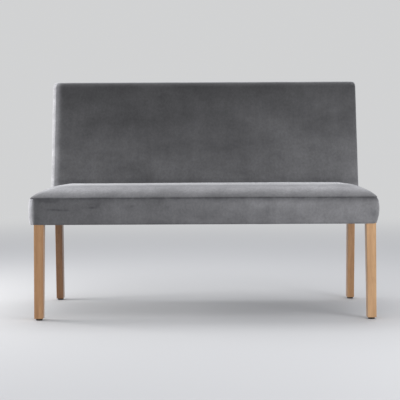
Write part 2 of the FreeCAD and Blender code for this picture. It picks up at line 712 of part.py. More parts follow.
def upper_back_sections():
    """The same for the outlines above the seat, up to the level top."""
    roll_start = TOTAL_HEIGHT - TOP_ROLL_HEIGHT
    sections = [
        (SEAM_HEIGHT + (roll_start - SEAM_HEIGHT) * share, 1.0, 0.0) for share in BACK_HEIGHT_SHARES
    ]
    for turn in TOP_ROLL_TURNS:
        sections.append((roll_start + TOP_ROLL_HEIGHT * math.sin(turn), 1.0, 1 - math.cos(turn)))
    return sections


def back_form(inset):
    """The padded back: leaning, crowned on its front face and rounded over at the top."""
    return back_loft(lower_back_sections() + upper_back_sections(), inset, inset)


def back_foam_form(inset, side_gap):
    """The upper part of that form, as wide as the frame less a gap at each side."""
    return back_loft(upper_back_sections(), inset, SIDE_BULGE + side_gap)


def back_loft(sections, inset, side_inset):
    wires = []
    roll_start = TOTAL_HEIGHT - TOP_ROLL_HEIGHT
    for z, bulge_share, rolled in sections:
        height_share = min(1.0, max(0.0, (z - SEAM_HEIGHT) / (TOTAL_HEIGHT - SEAM_HEIGHT)))
        crown_share = max(LEAST_CROWN_SHARE, math.sin(math.pi * height_share) ** CROWN_FULLNESS_SHARE)
        lean_front = UPRIGHT_FRONT + (z - SEAM_HEIGHT) * math.tan(FRONT_LEAN)
        squeeze = inset * max(0.0, (z - roll_start) / TOP_ROLL_HEIGHT)
        wires.append(rounded_outline(
            HALF_WIDTH + SIDE_BULGE * bulge_share - TOP_ROLL_SIDE * rolled - side_inset,
            lean_front - BACK_PADDING + TOP_ROLL_FRONT * rolled + inset,
            upright_rear(z) + BACK_SKIN - TOP_ROLL_REAR * rolled - inset,
            BACK_CORNER_RADIUS - inset, max(BACK_REAR_CORNER_RADIUS - inset, COVER_THICKNESS),
            BACK_CROWN * crown_share, z - squeeze,
        ))
    return loft(wires)


# Regions that the padding is cut by


def behind_plane(offset_y, low):
    """Everything behind the uprights' rear plane, shifted by offset_y."""
    wide = HALF_WIDTH + SIDE_BULGE + OVERRUN
    low_z, high_z = low - OVERRUN, TOTAL_HEIGHT + OVERRUN
    outline = [
        (upright_rear(low_z) + offset_y, low_z), (upright_rear(high_z) + offset_y, high_z),
        (upright_rear(high_z) + offset_y + OVERALL_DEPTH, high_z),
        (upright_rear(low_z) + offset_y + OVERALL_DEPTH, low_z),
    ]
    return prism_across(outline, -wide, wide)


def frame_core(clearance, top):
    """The space that the back's frame, webbing and lining take up, with a clearance round it."""
    near = (STRAP_THICKNESS + STAPLE_HEIGHT + LINING_THICKNESS + 2 * LAYER_GAP) / math.cos(FRONT_LEAN)
    half = HALF_WIDTH + clearance
    ahead = near + clearance
    low = SEAT_BOTTOM - OVERRUN
    outline = [
        (UPRIGHT_FRONT - ahead, low),
        (UPRIGHT_FRONT - ahead, SEAM_HEIGHT),
        (upright_front(top) - ahead, top),
        (upright_rear(top) + OVERRUN, top),
        (upright_rear(low) + OVERRUN, low),
    ]
    return prism_across(outline, -half, half)


def below_seat_region(rear, top):
    """The space in front of the back's side panels that belongs to the seat."""
    wide = HALF_WIDTH + SIDE_BULGE + OVERRUN
    return box(-wide, wide, FRAME_FRONT - OVERRUN, rear, SEAT_BOTTOM - OVERRUN, top)


# Seat padding and cover


def add_seat_padding(parts):
    wide = HALF_WIDTH + SIDE_BULGE + OVERRUN
    ahead = FRAME_FRONT - OVERRUN
    outer = COVER_THICKNESS + COVER_GAP
    inner = outer + SEAT_WADDING
    keep = box(-HALF_WIDTH, HALF_WIDTH, FRAME_FRONT, SEAT_REAR, FOAM_BOTTOM, TOTAL_HEIGHT)
    parts["seat_foam"] = seat_form(inner + COVER_GAP, SEAT_REAR - inner).common(keep).removeSplitter()
    foam_space = seat_form(inner, SEAT_REAR).common(box(
        -HALF_WIDTH - COVER_GAP, HALF_WIDTH + COVER_GAP, FRAME_FRONT - COVER_GAP, SEAT_REAR + OVERRUN,
        FOAM_BOTTOM - COVER_GAP, TOTAL_HEIGHT,
    ))
    frame_space = box(
        -HALF_WIDTH - COVER_GAP, HALF_WIDTH + COVER_GAP, FRAME_FRONT - COVER_GAP,
        KNEE_REAR + OVERRUN, SEAT_BOTTOM - OVERRUN, FOAM_BOTTOM,
    )
    behind = box(
        -HALF_WIDTH - COVER_GAP, HALF_WIDTH + COVER_GAP, SEAT_REAR - inner, KNEE_REAR,
        SEAT_BOTTOM - OVERRUN, SEAM_HEIGHT,
    )
    wadding = seat_form(outer, SIDE_SEAM - COVER_GAP)
    parts["seat_wadding"] = cut_all(wadding, [foam_space, frame_space, behind]).removeSplitter()
    parts["seat_cover_top"] = pillow_form(0.0).cut(pillow_form(COVER_THICKNESS))
    ring = band_form(0.0, SIDE_SEAM - COVER_GAP / 2).cut(band_form(COVER_THICKNESS, SIDE_SEAM + OVERRUN))
    front_zone = box(-HALF_WIDTH, HALF_WIDTH, ahead, KNEE_REAR, 0, TOTAL_HEIGHT)
    side_zone = box(HALF_WIDTH, wide, ahead, KNEE_REAR, 0, TOTAL_HEIGHT)
    bottom_share = BAND_BULGE_SHARES[0][1]
    hem_front = FRAME_FRONT - FRONT_BULGE * bottom_share
    hem_side = HALF_WIDTH + SIDE_BULGE * bottom_share
    leg_edge = HALF_WIDTH - FRONT_LEG_TOP_SIZE - HEM_LEG_GAP
    front_hem = box(-leg_edge, leg_edge, hem_front, FRAME_FRONT + HEM_WIDTH, HEM_BOTTOM, SEAT_BOTTOM)
    side_hem = box(
        HALF_WIDTH - HEM_WIDTH, hem_side, FRAME_FRONT + FRONT_LEG_TOP_SIZE + HEM_LEG_GAP,
        SIDE_SEAM - COVER_GAP, HEM_BOTTOM, SEAT_BOTTOM,
    )
    parts["seat_cover_front_band"] = ring.common(front_zone).fuse(front_hem).removeSplitter()
    side_band = ring.common(side_zone).fuse(side_hem).removeSplitter()
    parts["seat_cover_right_band"] = side_band
    parts["seat_cover_left_band"] = mirrored(side_band)


# Back padding and cover


def add_back_padding(parts):
    outer = COVER_THICKNESS + COVER_GAP
    inner = outer + BACK_WADDING
    seat_front = below_seat_region(SIDE_SEAM, SEAM_HEIGHT)
    under = box(
        -HALF_WIDTH - OVERRUN, HALF_WIDTH + OVERRUN, FRAME_FRONT, KNEE_REAR + OVERALL_DEPTH, 0,
        LOWER_RAIL_BOTTOM - LOWER_RAIL_RISE / 2,
    )
    rear = behind_plane(0.0, SEAT_BOTTOM)
    foam = back_foam_form(inner + COVER_GAP, COVER_GAP)
    core = frame_core(COVER_GAP, WOOD_TOP + LAYER_GAP)
    parts["back_foam"] = cut_all(foam, [core, under, rear]).removeSplitter()
    foam_space = back_foam_form(inner, 0.0).common(box(
        -HALF_WIDTH - OVERRUN, HALF_WIDTH + OVERRUN, FRAME_FRONT, OVERALL_DEPTH,
        LOWER_RAIL_BOTTOM - LOWER_RAIL_RISE / 2 - COVER_GAP, TOTAL_HEIGHT,
    ))
    wadding = back_form(outer)
    roomy_core = frame_core(COVER_GAP, WOOD_TOP + LAYER_GAP)
    below = box(
        -HALF_WIDTH - COVER_GAP, HALF_WIDTH + COVER_GAP, FRAME_FRONT, OVERALL_DEPTH, 0,
        LOWER_RAIL_BOTTOM - LOWER_RAIL_RISE / 2,
    )
    cuts = [foam_space, roomy_core, below, rear, below_seat_region(SIDE_SEAM + COVER_GAP, SEAM_HEIGHT)]
    parts["back_wadding"] = cut_all(wadding, cuts).removeSplitter()

    card_half = HALF_WIDTH - CARD_EDGE_GAP
    card_low, card_high = SEAT_BOTTOM + CARD_EDGE_GAP, WOOD_TOP - CARD_EDGE_GAP
    parts["back_card"] = rear_sheet(card_half, card_low, card_high, 0.0, CARD_THICKNESS)
    near = CARD_THICKNESS + LAYER_GAP
    parts["outer_back_wadding"] = rear_sheet(card_half, card_low, card_high, near, near + OUTER_WADDING)

    shell = back_form(0.0).cut(back_form(COVER_THICKNESS)).cut(seat_front)
    wide = HALF_WIDTH + SIDE_BULGE + OVERRUN
    middle = box(-HALF_WIDTH, HALF_WIDTH, FRAME_FRONT, OVERALL_DEPTH, 0, TOTAL_HEIGHT + OVERRUN)
    right = box(HALF_WIDTH, wide, FRAME_FRONT, OVERALL_DEPTH, 0, TOTAL_HEIGHT + OVERRUN)
    outer_back = behind_plane(BACK_SKIN - OUTER_BACK_LIP, SEAT_BOTTOM)
    below_front = box(
        -HALF_WIDTH, HALF_WIDTH, FRAME_FRONT, OVERALL_DEPTH, 0, SEAM_HEIGHT,
    ).cut(outer_back)
    strip = shell.common(middle)
    parts["backrest_cover_front"] = cut_all(strip, [outer_back, below_front]).removeSplitter()
    back_cover = strip.common(outer_back)
    rear_edge = upright_rear(SEAT_BOTTOM) + BACK_SKIN
    hem_half = HALF_WIDTH - REAR_LEG_WIDTH - HEM_LEG_GAP
    hem = box(-hem_half, hem_half, BACK_RAIL_FRONT, rear_edge, HEM_BOTTOM, SEAT_BOTTOM)
    parts["backrest_cover_back"] = back_cover.fuse(hem).removeSplitter()
    side = shell.common(right).removeSplitter()
    parts["backrest_cover_right_side"] = side
    parts["backrest_cover_left_side"] = mirrored(side)


def rear_sheet(half_width, low, high, near, far):
    """A sheet parallel to the uprights' rear plane, from near to far behind it."""
    outline = [
        (upright_rear(low) + near, low), (upright_rear(high) + near, high),
        (upright_rear(high) + far, high), (upright_rear(low) + far, low),
    ]
    return prism_across(outline, -half_width, half_width)


# Dust cover under the seat


def add_dust_cover(parts):
    edge = HALF_WIDTH - DUST_COVER_INSET
    front, rear = FRAME_FRONT + DUST_COVER_INSET, KNEE_REAR - DUST_COVER_INSET
    low = HEM_BOTTOM - DUST_COVER_THICKNESS
    sheet = box(-edge, edge, front, rear, low, HEM_BOTTOM)
    notches = []
    for side in (-1, 1):
        front_reach = FRONT_LEG_TOP_SIZE + DUST_COVER_LEG_GAP
        rear_reach = REAR_LEG_WIDTH + DUST_COVER_LEG_GAP
        for reach, y0, y1 in (
            (front_reach, FRAME_FRONT - OVERRUN, FRAME_FRONT + front_reach),
            (rear_reach, UPRIGHT_FRONT - DUST_COVER_LEG_GAP, KNEE_REAR + OVERRUN),
        ):
            x0, x1 = sorted((side * (HALF_WIDTH - reach), side * (HALF_WIDTH + OVERRUN)))
            notches.append(box(x0, x1, y0, y1, low - OVERRUN, HEM_BOTTOM + OVERRUN))
    sheet = cut_all(sheet, notches)
    across, along, up = Vector(1, 0, 0), Vector(0, 1, 0), Vector(0, 0, 1)
    staples = []
    slots = {name: [] for name in ("front_rail", "back_rail", "side_rail_left", "side_rail_right")}
    run = HALF_WIDTH - FRONT_LEG_TOP_SIZE - DUST_COVER_LEG_GAP - DUST_STAPLE_INSET
    count = int(2 * run / DUST_STAPLE_PITCH) + 1
    places = [-run + 2 * run * i / (count - 1) for i in range(count)]
    for rail, y in (("front_rail", front + DUST_STAPLE_INSET / 2), ("back_rail", rear - DUST_STAPLE_INSET / 2)):
        for x in places:
            made, prongs = staple(Vector(x, y, low), across, up)
            staples.append(made)
            slots[rail] += prongs
    start = FRAME_FRONT + FRONT_LEG_TOP_SIZE + DUST_COVER_LEG_GAP + DUST_STAPLE_INSET
    end = SIDE_SEAM - DUST_STAPLE_INSET
    count = int((end - start) / DUST_STAPLE_PITCH) + 1
    places = [start + (end - start) * i / (count - 1) for i in range(count)]
    for side, rail in ((-1, "side_rail_left"), (1, "side_rail_right")):
        for y in places:
            middle = Vector(side * (edge - DUST_STAPLE_INSET / 2), y, low)
            made, prongs = staple(middle, along, up)
            staples.append(made)
            slots[rail] += prongs
    every = [p for prongs in slots.values() for p in prongs]
    parts["dust_cover"] = cut_all(sheet, every)
    parts["dust_cover_staples"] = Part.makeCompound(staples)
    covers = {
        "front_rail": "seat_cover_front_band", "back_rail": "backrest_cover_back",
        "side_rail_left": "seat_cover_left_band", "side_rail_right": "seat_cover_right_band",
    }
    for rail, prongs in slots.items():
        parts[rail] = cut_all(parts[rail], prongs)
        parts[covers[rail]] = cut_all(parts[covers[rail]], prongs)


def build():
    parts = frame_boards()
    add_corner_blocks(parts)
    add_dowels(parts)
    add_glides(parts)
    add_seat_webbing(parts)
    add_back_webbing(parts)
    add_seat_padding(parts)
    add_back_padding(parts)
    add_dust_cover(parts)
    return parts


def main():
    os.makedirs("parts", exist_ok=True)
    for name, shape in build().items():
        shape.exportStep(os.path.join("parts", name + ".step"))
        print(name, len(shape.Solids), "solids, valid", shape.isValid(), "volume", round(shape.Volume))


main()
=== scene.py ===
import json
import math

import bmesh
import bpy
import numpy as np
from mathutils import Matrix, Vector, noise


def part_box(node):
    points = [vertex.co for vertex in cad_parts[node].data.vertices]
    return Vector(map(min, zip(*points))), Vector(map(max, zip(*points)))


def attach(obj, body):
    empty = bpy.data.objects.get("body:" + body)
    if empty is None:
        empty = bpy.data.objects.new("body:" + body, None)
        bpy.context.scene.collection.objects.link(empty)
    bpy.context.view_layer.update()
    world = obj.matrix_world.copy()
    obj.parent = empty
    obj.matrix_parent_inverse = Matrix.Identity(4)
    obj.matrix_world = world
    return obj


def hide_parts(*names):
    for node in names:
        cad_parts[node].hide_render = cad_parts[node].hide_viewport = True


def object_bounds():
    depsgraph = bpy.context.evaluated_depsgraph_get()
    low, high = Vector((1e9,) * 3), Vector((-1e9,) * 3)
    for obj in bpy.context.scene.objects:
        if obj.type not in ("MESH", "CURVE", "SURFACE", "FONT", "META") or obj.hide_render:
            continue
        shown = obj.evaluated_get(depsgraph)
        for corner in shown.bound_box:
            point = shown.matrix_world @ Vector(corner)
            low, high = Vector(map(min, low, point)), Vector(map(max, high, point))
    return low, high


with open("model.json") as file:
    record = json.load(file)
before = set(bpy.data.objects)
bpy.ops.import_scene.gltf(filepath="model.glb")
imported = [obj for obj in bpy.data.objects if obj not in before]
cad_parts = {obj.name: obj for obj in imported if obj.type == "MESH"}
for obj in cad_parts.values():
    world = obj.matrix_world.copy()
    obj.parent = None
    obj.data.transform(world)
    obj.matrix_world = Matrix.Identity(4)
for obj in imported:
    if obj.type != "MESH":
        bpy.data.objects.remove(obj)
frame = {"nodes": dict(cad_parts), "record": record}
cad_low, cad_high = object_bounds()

# Sizes in metres and a few shares, taken from the frame where a wooden or padded part gives them
half_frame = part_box("back_leg_right")[1][0]
frame_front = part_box("front_rail")[0][1]
seat_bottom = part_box("front_rail")[0][2]
upright_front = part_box("side_rail_right")[1][1]
knee_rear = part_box("back_rail")[1][1]
seam_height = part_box("seat_cover_top")[0][2]
seat_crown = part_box("seat_cover_top")[1][2]
back_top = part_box("backrest_cover_front")[1][2]
side_bulge = cad_high[0] - half_frame
front_bulge = frame_front - cad_low[1]
hem_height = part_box("seat_cover_front_band")[0][2]
leg_size = 0.038
rear_leg_width = 0.030
hem_insets = (0.022, 0.014, 0.007, 0.0028)
hem_gap = 0.002
cloth_thickness = 0.0015
seat_roll = 0.090
seat_roll_fullness = 1.4
seat_back_roll_share = 0.3
band_corner = 0.014
tight_corner = 0.004
seam_lip = 0.0006
seat_rear = upright_front - 0.0295
side_seam = seat_rear + 0.00075
front_lean = math.tan(math.radians(8.0))
rear_lean = math.tan(math.radians(5.5))
back_padding = 0.028
back_skin = 0.010
back_crown = 0.008
back_corner = 0.016
back_rear_corner = 0.009
top_roll_height = 0.024
top_roll_front = 0.026
top_roll_rear = 0.012
top_roll_side = 0.009
left_band_reach = 0.0212
left_band_straightness = 0.22
left_fade_depth = 0.2
left_fade_drawn = 0.06

# Steps of the mesh: along the front and rear, along each side, and round a corner
seat_steps = (118, 40)
back_steps = (118, 8)
corner_steps = 6


def clamped(value):
    return min(1.0, max(0.0, value))


def bell(distance, width):
    """1 at no distance, fading to 0 on both sides."""
    return math.exp(-(distance / width) ** 2)


# Materials

def set_inputs(node, values):
    """Sets the sockets of a node by their names."""
    for name, value in values.items():
        node.inputs[name].default_value = value


def start_material(name, colour, roughness):
    material = bpy.data.materials.new(name)
    material.use_nodes = True
    shader = material.node_tree.nodes["Principled BSDF"]
    set_inputs(shader, {"Base Color": (*colour, 1.0), "Roughness": roughness})
    return material, material.node_tree.nodes, material.node_tree.links, shader


def add_node(nodes, kind, **settings):
    made = nodes.new(kind)
    for name, value in settings.items():
        setattr(made, name, value)
    return made


def object_place(nodes):
    return add_node(nodes, "ShaderNodeTexCoord").outputs["Object"]


def noise_texture(nodes, links, source, scale, detail, roughness, stretch=(1.0, 1.0, 1.0)):
    mapping = add_node(nodes, "ShaderNodeMapping")
    set_inputs(mapping, {"Scale": stretch})
    links.new(source, mapping.inputs["Vector"])
    texture = add_node(nodes, "ShaderNodeTexNoise")
    set_inputs(texture, {"Scale": scale, "Detail": detail, "Roughness": roughness})
    links.new(mapping.outputs["Vector"], texture.inputs["Vector"])
    return texture.outputs["Fac"]


def thread_bands(nodes, links, source, axis, scale, distortion=0.0, detail_scale=1.0):
    """Even bands across one axis, as threads lie side by side in a weave."""
    bands = add_node(nodes, "ShaderNodeTexWave", wave_type="BANDS", bands_direction=axis)
    set_inputs(bands, {"Scale": scale, "Distortion": distortion, "Detail Scale": detail_scale})
    links.new(source, bands.inputs["Vector"])
    return bands.outputs["Color"]


def grey(level):
    return (level, level, level)


def ramp(nodes, links, factor, stops):
    made = add_node(nodes, "ShaderNodeValToRGB")
    elements = made.color_ramp.elements
    while len(elements) < len(stops):
        elements.new(0.5)
    for element, (position, colour) in zip(elements, stops):
        element.position = position
        element.color = (*colour, 1.0)
    links.new(factor, made.inputs["Fac"])
    return made.outputs["Color"]


def mix_colour(nodes, links, kind, amount, first, second):
    made = add_node(nodes, "ShaderNodeMix", data_type="RGBA", blend_type=kind)
    set_inputs(made, {"Factor": amount})
    links.new(first, made.inputs["A"])
    links.new(second, made.inputs["B"])
    return made.outputs["Result"]


def shaded(nodes, links, colour, factor, stops, amount=1.0):
    """A colour darkened by what a ramp says of the factor."""
    return mix_colour(nodes, links, "MULTIPLY", amount, colour, ramp(nodes, links, factor, stops))


def bump(nodes, links, height, strength, distance, normal=None):
    made = add_node(nodes, "ShaderNodeBump")
    set_inputs(made, {"Strength": strength, "Distance": distance})
    links.new(height, made.inputs["Height"])
    if normal is not None:
        links.new(normal, made.inputs["Normal"])
    return made.outputs["Normal"]


def grey_velvet(name, sheen):
    """Short dense pile, dark seen straight on, pale at a grazing angle. Painted light and shade are
    stored on the cloth.
    """
    material, nodes, links, shader = start_material(name, (0.13, 0.13, 0.134), 0.85)
    place = object_place(nodes)
    brushed = noise_texture(nodes, links, place, 7.0, 4.0, 0.6, (0.7, 1.0, 1.3))
    toned = ramp(nodes, links, brushed, [
        (0.32, (0.1230, 0.1218, 0.1252)),
        (0.50, (0.1500, 0.1485, 0.1522)),
        (0.68, (0.1780, 0.1762, 0.1802)),
    ])
    strokes = noise_texture(nodes, links, place, 15.0, 4.0, 0.65, (1.0, 1.0, 0.24))
    toned = shaded(nodes, links, toned, strokes, [(0.35, grey(0.86)), (0.65, grey(1.0))])
    flecks = noise_texture(nodes, links, place, 115.0, 3.0, 0.6, (1.0, 1.0, 0.8))
    toned = shaded(nodes, links, toned, flecks, [(0.35, grey(0.85)), (0.65, grey(1.0))])
    pile = noise_texture(nodes, links, place, 1500.0, 2.0, 0.7)
    toned = shaded(nodes, links, toned, pile, [(0.25, grey(0.80)), (0.75, grey(1.0))])
    # Painted shade stored on the cloth darkens the base colour in creases, along seams, at the hem and
    # above the seat.
    painted_shade_amount = add_node(nodes, "ShaderNodeAttribute", attribute_name="painted_shade").outputs["Fac"]
    toned = shaded(nodes, links, toned, painted_shade_amount, [(0.0, grey(1.0)), (1.0, (0.55, 0.55, 0.57))])
    # Painted light and shade: a tone stored on each panel scales the base colour.
    painted_tone = add_node(nodes, "ShaderNodeAttribute", attribute_name="painted_light_and_shade")
    lit = add_node(nodes, "ShaderNodeVectorMath", operation="SCALE")
    links.new(toned, lit.inputs[0])
    links.new(painted_tone.outputs["Fac"], lit.inputs["Scale"])
    links.new(lit.outputs["Vector"], shader.inputs["Base Color"])
    set_inputs(shader, {
        "Sheen Weight": sheen,
        "Sheen Roughness": 0.38,
        "Sheen Tint": (0.80, 0.81, 0.84, 1.0),
        "Specular IOR Level": 0.18,
    })
    soft = noise_texture(nodes, links, place, 45.0, 3.0, 0.55)
    normal = bump(nodes, links, soft, 0.35, 0.0012)
    links.new(bump(nodes, links, pile, 0.5, 0.0003, normal), shader.inputs["Normal"])
    return material


def oak(name, light, dark):
    """Straight-grained hardwood with fine pores and a satin lacquer; the grain runs up the leg."""
    material, nodes, links, shader = start_material(name, light, 0.42)
    place = object_place(nodes)
    streaks = noise_texture(nodes, links, place, 62.0, 5.0, 0.6, (1.0, 1.0, 0.055))
    broad = noise_texture(nodes, links, place, 14.0, 3.0, 0.5, (1.0, 1.0, 0.12))
    middle = tuple((a + b) / 2 for a, b in zip(light, dark))
    toned = ramp(nodes, links, streaks, [(0.28, dark), (0.5, middle), (0.7, light)])
    toned = shaded(nodes, links, toned, broad, [(0.3, (0.86, 0.84, 0.80)), (0.7, grey(1.0))])
    pores = noise_texture(nodes, links, place, 520.0, 2.0, 0.5, (1.0, 1.0, 0.045))
    toned = shaded(nodes, links, toned, pores, [(0.33, (0.70, 0.64, 0.56)), (0.44, grey(1.0))], 0.6)
    links.new(toned, shader.inputs["Base Color"])
    gloss = ramp(nodes, links, streaks, [(0.3, grey(0.50)), (0.7, grey(0.36))])
    links.new(gloss, shader.inputs["Roughness"])
    set_inputs(shader, {"Coat Weight": 0.25, "Coat Roughness": 0.3})
    normal = bump(nodes, links, pores, 0.25, 0.0002)
    links.new(bump(nodes, links, streaks, 0.12, 0.0004, normal), shader.inputs["Normal"])
    return material


def sawn_pine():
    """Pale unfinished frame timber with rings and saw marks across it."""
    material, nodes, links, shader = start_material("sawn_pine", (0.62, 0.44, 0.25), 0.75)
    place = object_place(nodes)
    rings = noise_texture(nodes, links, place, 30.0, 5.0, 0.6, (0.06, 1.0, 1.0))
    tone = ramp(nodes, links, rings, [
        (0.3, (0.42, 0.27, 0.13)),
        (0.55, (0.60, 0.42, 0.23)),
        (0.8, (0.70, 0.52, 0.31)),
    ])
    links.new(tone, shader.inputs["Base Color"])
    saw = noise_texture(nodes, links, place, 260.0, 2.0, 0.5, (1.0, 0.1, 0.1))
    links.new(bump(nodes, links, saw, 0.4, 0.0004), shader.inputs["Normal"])
    return material


def woven_strap():
    """Black elastic webbing: ribs one way, crossed by a fine weft."""
    material, nodes, links, shader = start_material("woven_strap", (0.03, 0.03, 0.03), 0.8)
    place = object_place(nodes)
    ribs = thread_bands(nodes, links, place, "X", 180.0, 0.6)
    weft = thread_bands(nodes, links, place, "Y", 260.0)
    woven = mix_colour(nodes, links, "MULTIPLY", 1.0, ribs, weft)
    tone = ramp(nodes, links, woven, [(0.0, grey(0.018)), (1.0, (0.075, 0.072, 0.068))])
    links.new(tone, shader.inputs["Base Color"])
    links.new(bump(nodes, links, woven, 0.6, 0.0004), shader.inputs["Normal"])
    return material


def burlap():
    """Open brown weave of the lining over the webbing."""
    material, nodes, links, shader = start_material("burlap", (0.42, 0.33, 0.20), 0.9)
    place = object_place(nodes)
    warp = thread_bands(nodes, links, place, "X", 230.0, 1.5, 2.0)
    weft = thread_bands(nodes, links, place, "Y", 230.0, 1.5, 2.0)
    woven = mix_colour(nodes, links, "SCREEN", 1.0, warp, weft)
    tone = ramp(nodes, links, woven, [(0.1, (0.13, 0.09, 0.05)), (0.9, (0.46, 0.36, 0.22))])
    links.new(tone, shader.inputs["Base Color"])
    links.new(bump(nodes, links, woven, 0.7, 0.0005), shader.inputs["Normal"])
    return material


def open_cell_foam():
    """Yellow cushion foam with its small open cells."""
    material, nodes, links, shader = start_material("open_cell_foam", (0.78, 0.70, 0.46), 0.95)
    place = object_place(nodes)
    cells = add_node(nodes, "ShaderNodeTexVoronoi")
    set_inputs(cells, {"Scale": 700.0})
    links.new(place, cells.inputs["Vector"])
    depth = cells.outputs["Distance"]
    tone = ramp(nodes, links, depth, [(0.0, (0.50, 0.42, 0.24)), (0.5, (0.80, 0.73, 0.50))])
    links.new(tone, shader.inputs["Base Color"])
    links.new(bump(nodes, links, depth, 0.6, 0.0006), shader.inputs["Normal"])
    return material


def fibre_wadding():
    """Off-white loose fibre sheet."""
    material, nodes, links, shader = start_material("fibre_wadding", (0.85, 0.85, 0.83), 1.0)
    place = object_place(nodes)
    fibres = noise_texture(nodes, links, place, 300.0, 6.0, 0.75, (1.0, 0.35, 1.0))
    tone = ramp(nodes, links, fibres, [(0.3, (0.62, 0.62, 0.60)), (0.7, (0.90, 0.90, 0.88))])
    links.new(tone, shader.inputs["Base Color"])
    links.new(bump(nodes, links, fibres, 0.8, 0.001), shader.inputs["Normal"])
    return material


def zinc_plated_steel():
    """Bright plating with a faint spangle, for bolts, screws, nuts, nails and staples."""
    material, nodes, links, shader = start_material("zinc_plated_steel", (0.60, 0.61, 0.62), 0.35)
    place = object_place(nodes)
    spangle = noise_texture(nodes, links, place, 420.0, 3.0, 0.6)
    tone = ramp(nodes, links, spangle, [(0.3, (0.48, 0.49, 0.50)), (0.7, (0.68, 0.69, 0.70))])
    links.new(tone, shader.inputs["Base Color"])
    gloss = ramp(nodes, links, spangle, [(0.3, grey(0.28)), (0.7, grey(0.46))])
    links.new(gloss, shader.inputs["Roughness"])
    set_inputs(shader, {"Metallic": 1.0})
    return material


def pressed_board():
    """Brown hardboard of the outer back, flecked with fibres."""
    material, nodes, links, shader = start_material("pressed_board", (0.22, 0.13, 0.07), 0.7)
    place = object_place(nodes)
    flecks = noise_texture(nodes, links, place, 240.0, 4.0, 0.7)
    tone = ramp(nodes, links, flecks, [(0.3, (0.15, 0.085, 0.045)), (0.7, (0.27, 0.17, 0.095))])
    links.new(tone, shader.inputs["Base Color"])
    links.new(bump(nodes, links, flecks, 0.3, 0.0003), shader.inputs["Normal"])
    return material


def spun_dust_cloth():
    """Black spun-bonded cloth with its grid of small bond points."""
    material, nodes, links, shader = start_material("spun_dust_cloth", (0.012, 0.012, 0.014), 0.9)
    place = object_place(nodes)
    points = add_node(nodes, "ShaderNodeTexVoronoi", feature="F1")
    set_inputs(points, {"Scale": 420.0, "Randomness": 0.15})
    links.new(place, points.inputs["Vector"])
    fibres = noise_texture(nodes, links, place, 700.0, 4.0, 0.7, (1.0, 0.4, 1.0))
    tone = ramp(nodes, links, fibres, [(0.3, (0.007, 0.007, 0.008)), (0.7, (0.030, 0.030, 0.033))])
    links.new(tone, shader.inputs["Base Color"])
    links.new(bump(nodes, links, points.outputs["Distance"], 0.4, 0.0003), shader.inputs["Normal"])
    return material


def dark_glide_plastic():
    """Nearly black plastic, scuffed by the floor."""
    material, nodes, links, shader = start_material("dark_glide_plastic", (0.022, 0.018, 0.015), 0.5)
    place = object_place(nodes)
    scuffs = noise_texture(nodes, links, place, 300.0, 4.0, 0.65)
    tone = ramp(nodes, links, scuffs, [(0.35, (0.014, 0.011, 0.009)), (0.75, (0.040, 0.034, 0.028))])
    links.new(tone, shader.inputs["Base Color"])
    gloss = ramp(nodes, links, scuffs, [(0.3, grey(0.42)), (0.7, grey(0.66))])
    links.new(gloss, shader.inputs["Roughness"])
    return material


velvet = grey_velvet("grey_velvet", 1.0)
seat_top_pile = grey_velvet("grey_velvet_seat_top", 0.4)


def leg_oak(name, tone, warmth):
    """The same oak in another tone and warmth, as lit and shaded copies of one oak."""
    light = (0.53 * tone * warmth, 0.325 * tone, 0.170 * tone / warmth)
    dark = (0.37 * tone * warmth, 0.200 * tone, 0.090 * tone / warmth)
    return oak(name, light, dark)


# Painted shade darkens the rear left leg and painted light brightens the front right leg.
leg_lit_and_shaded_oak = {
    "front_leg_left": leg_oak("oak_front_left", 0.95, 1.08),
    "front_leg_right": leg_oak("oak_front_right", 1.24, 0.99),
    "back_leg_left": leg_oak("oak_back_left", 0.44, 1.22),
    "back_leg_right": leg_oak("oak_back_right", 0.94, 1.08),
}
finishes = {
    "frame_wood": sawn_pine(),
    "zinc_steel": zinc_plated_steel(),
    "webbing": woven_strap(),
    "lining_cloth": burlap(),
    "foam": open_cell_foam(),
    "wadding": fibre_wadding(),
    "velvet": velvet,
    "back_board": pressed_board(),
    "dust_cloth": spun_dust_cloth(),
    "glide_plastic": dark_glide_plastic(),
}
for entry in frame["record"]["subparts"]:
    node = frame["nodes"][entry["node"]]
    node.data.materials.clear()
    node.data.materials.append(leg_lit_and_shaded_oak.get(entry["node"]) or finishes[entry["material_slot"]])


# Rings and caps of the padded forms

seam_run = 0.012


def spaced(steps, length):
    """Shares of a length, close together at both ends so that a seam there stays crisp."""
    near = [0.0, 0.25 * seam_run, 0.6 * seam_run, seam_run]
    inner = np.linspace(seam_run, length - seam_run, steps - 5)
    places = near[:-1] + list(inner) + [length - n for n in near[-2::-1]]
    return [p / length for p in places]


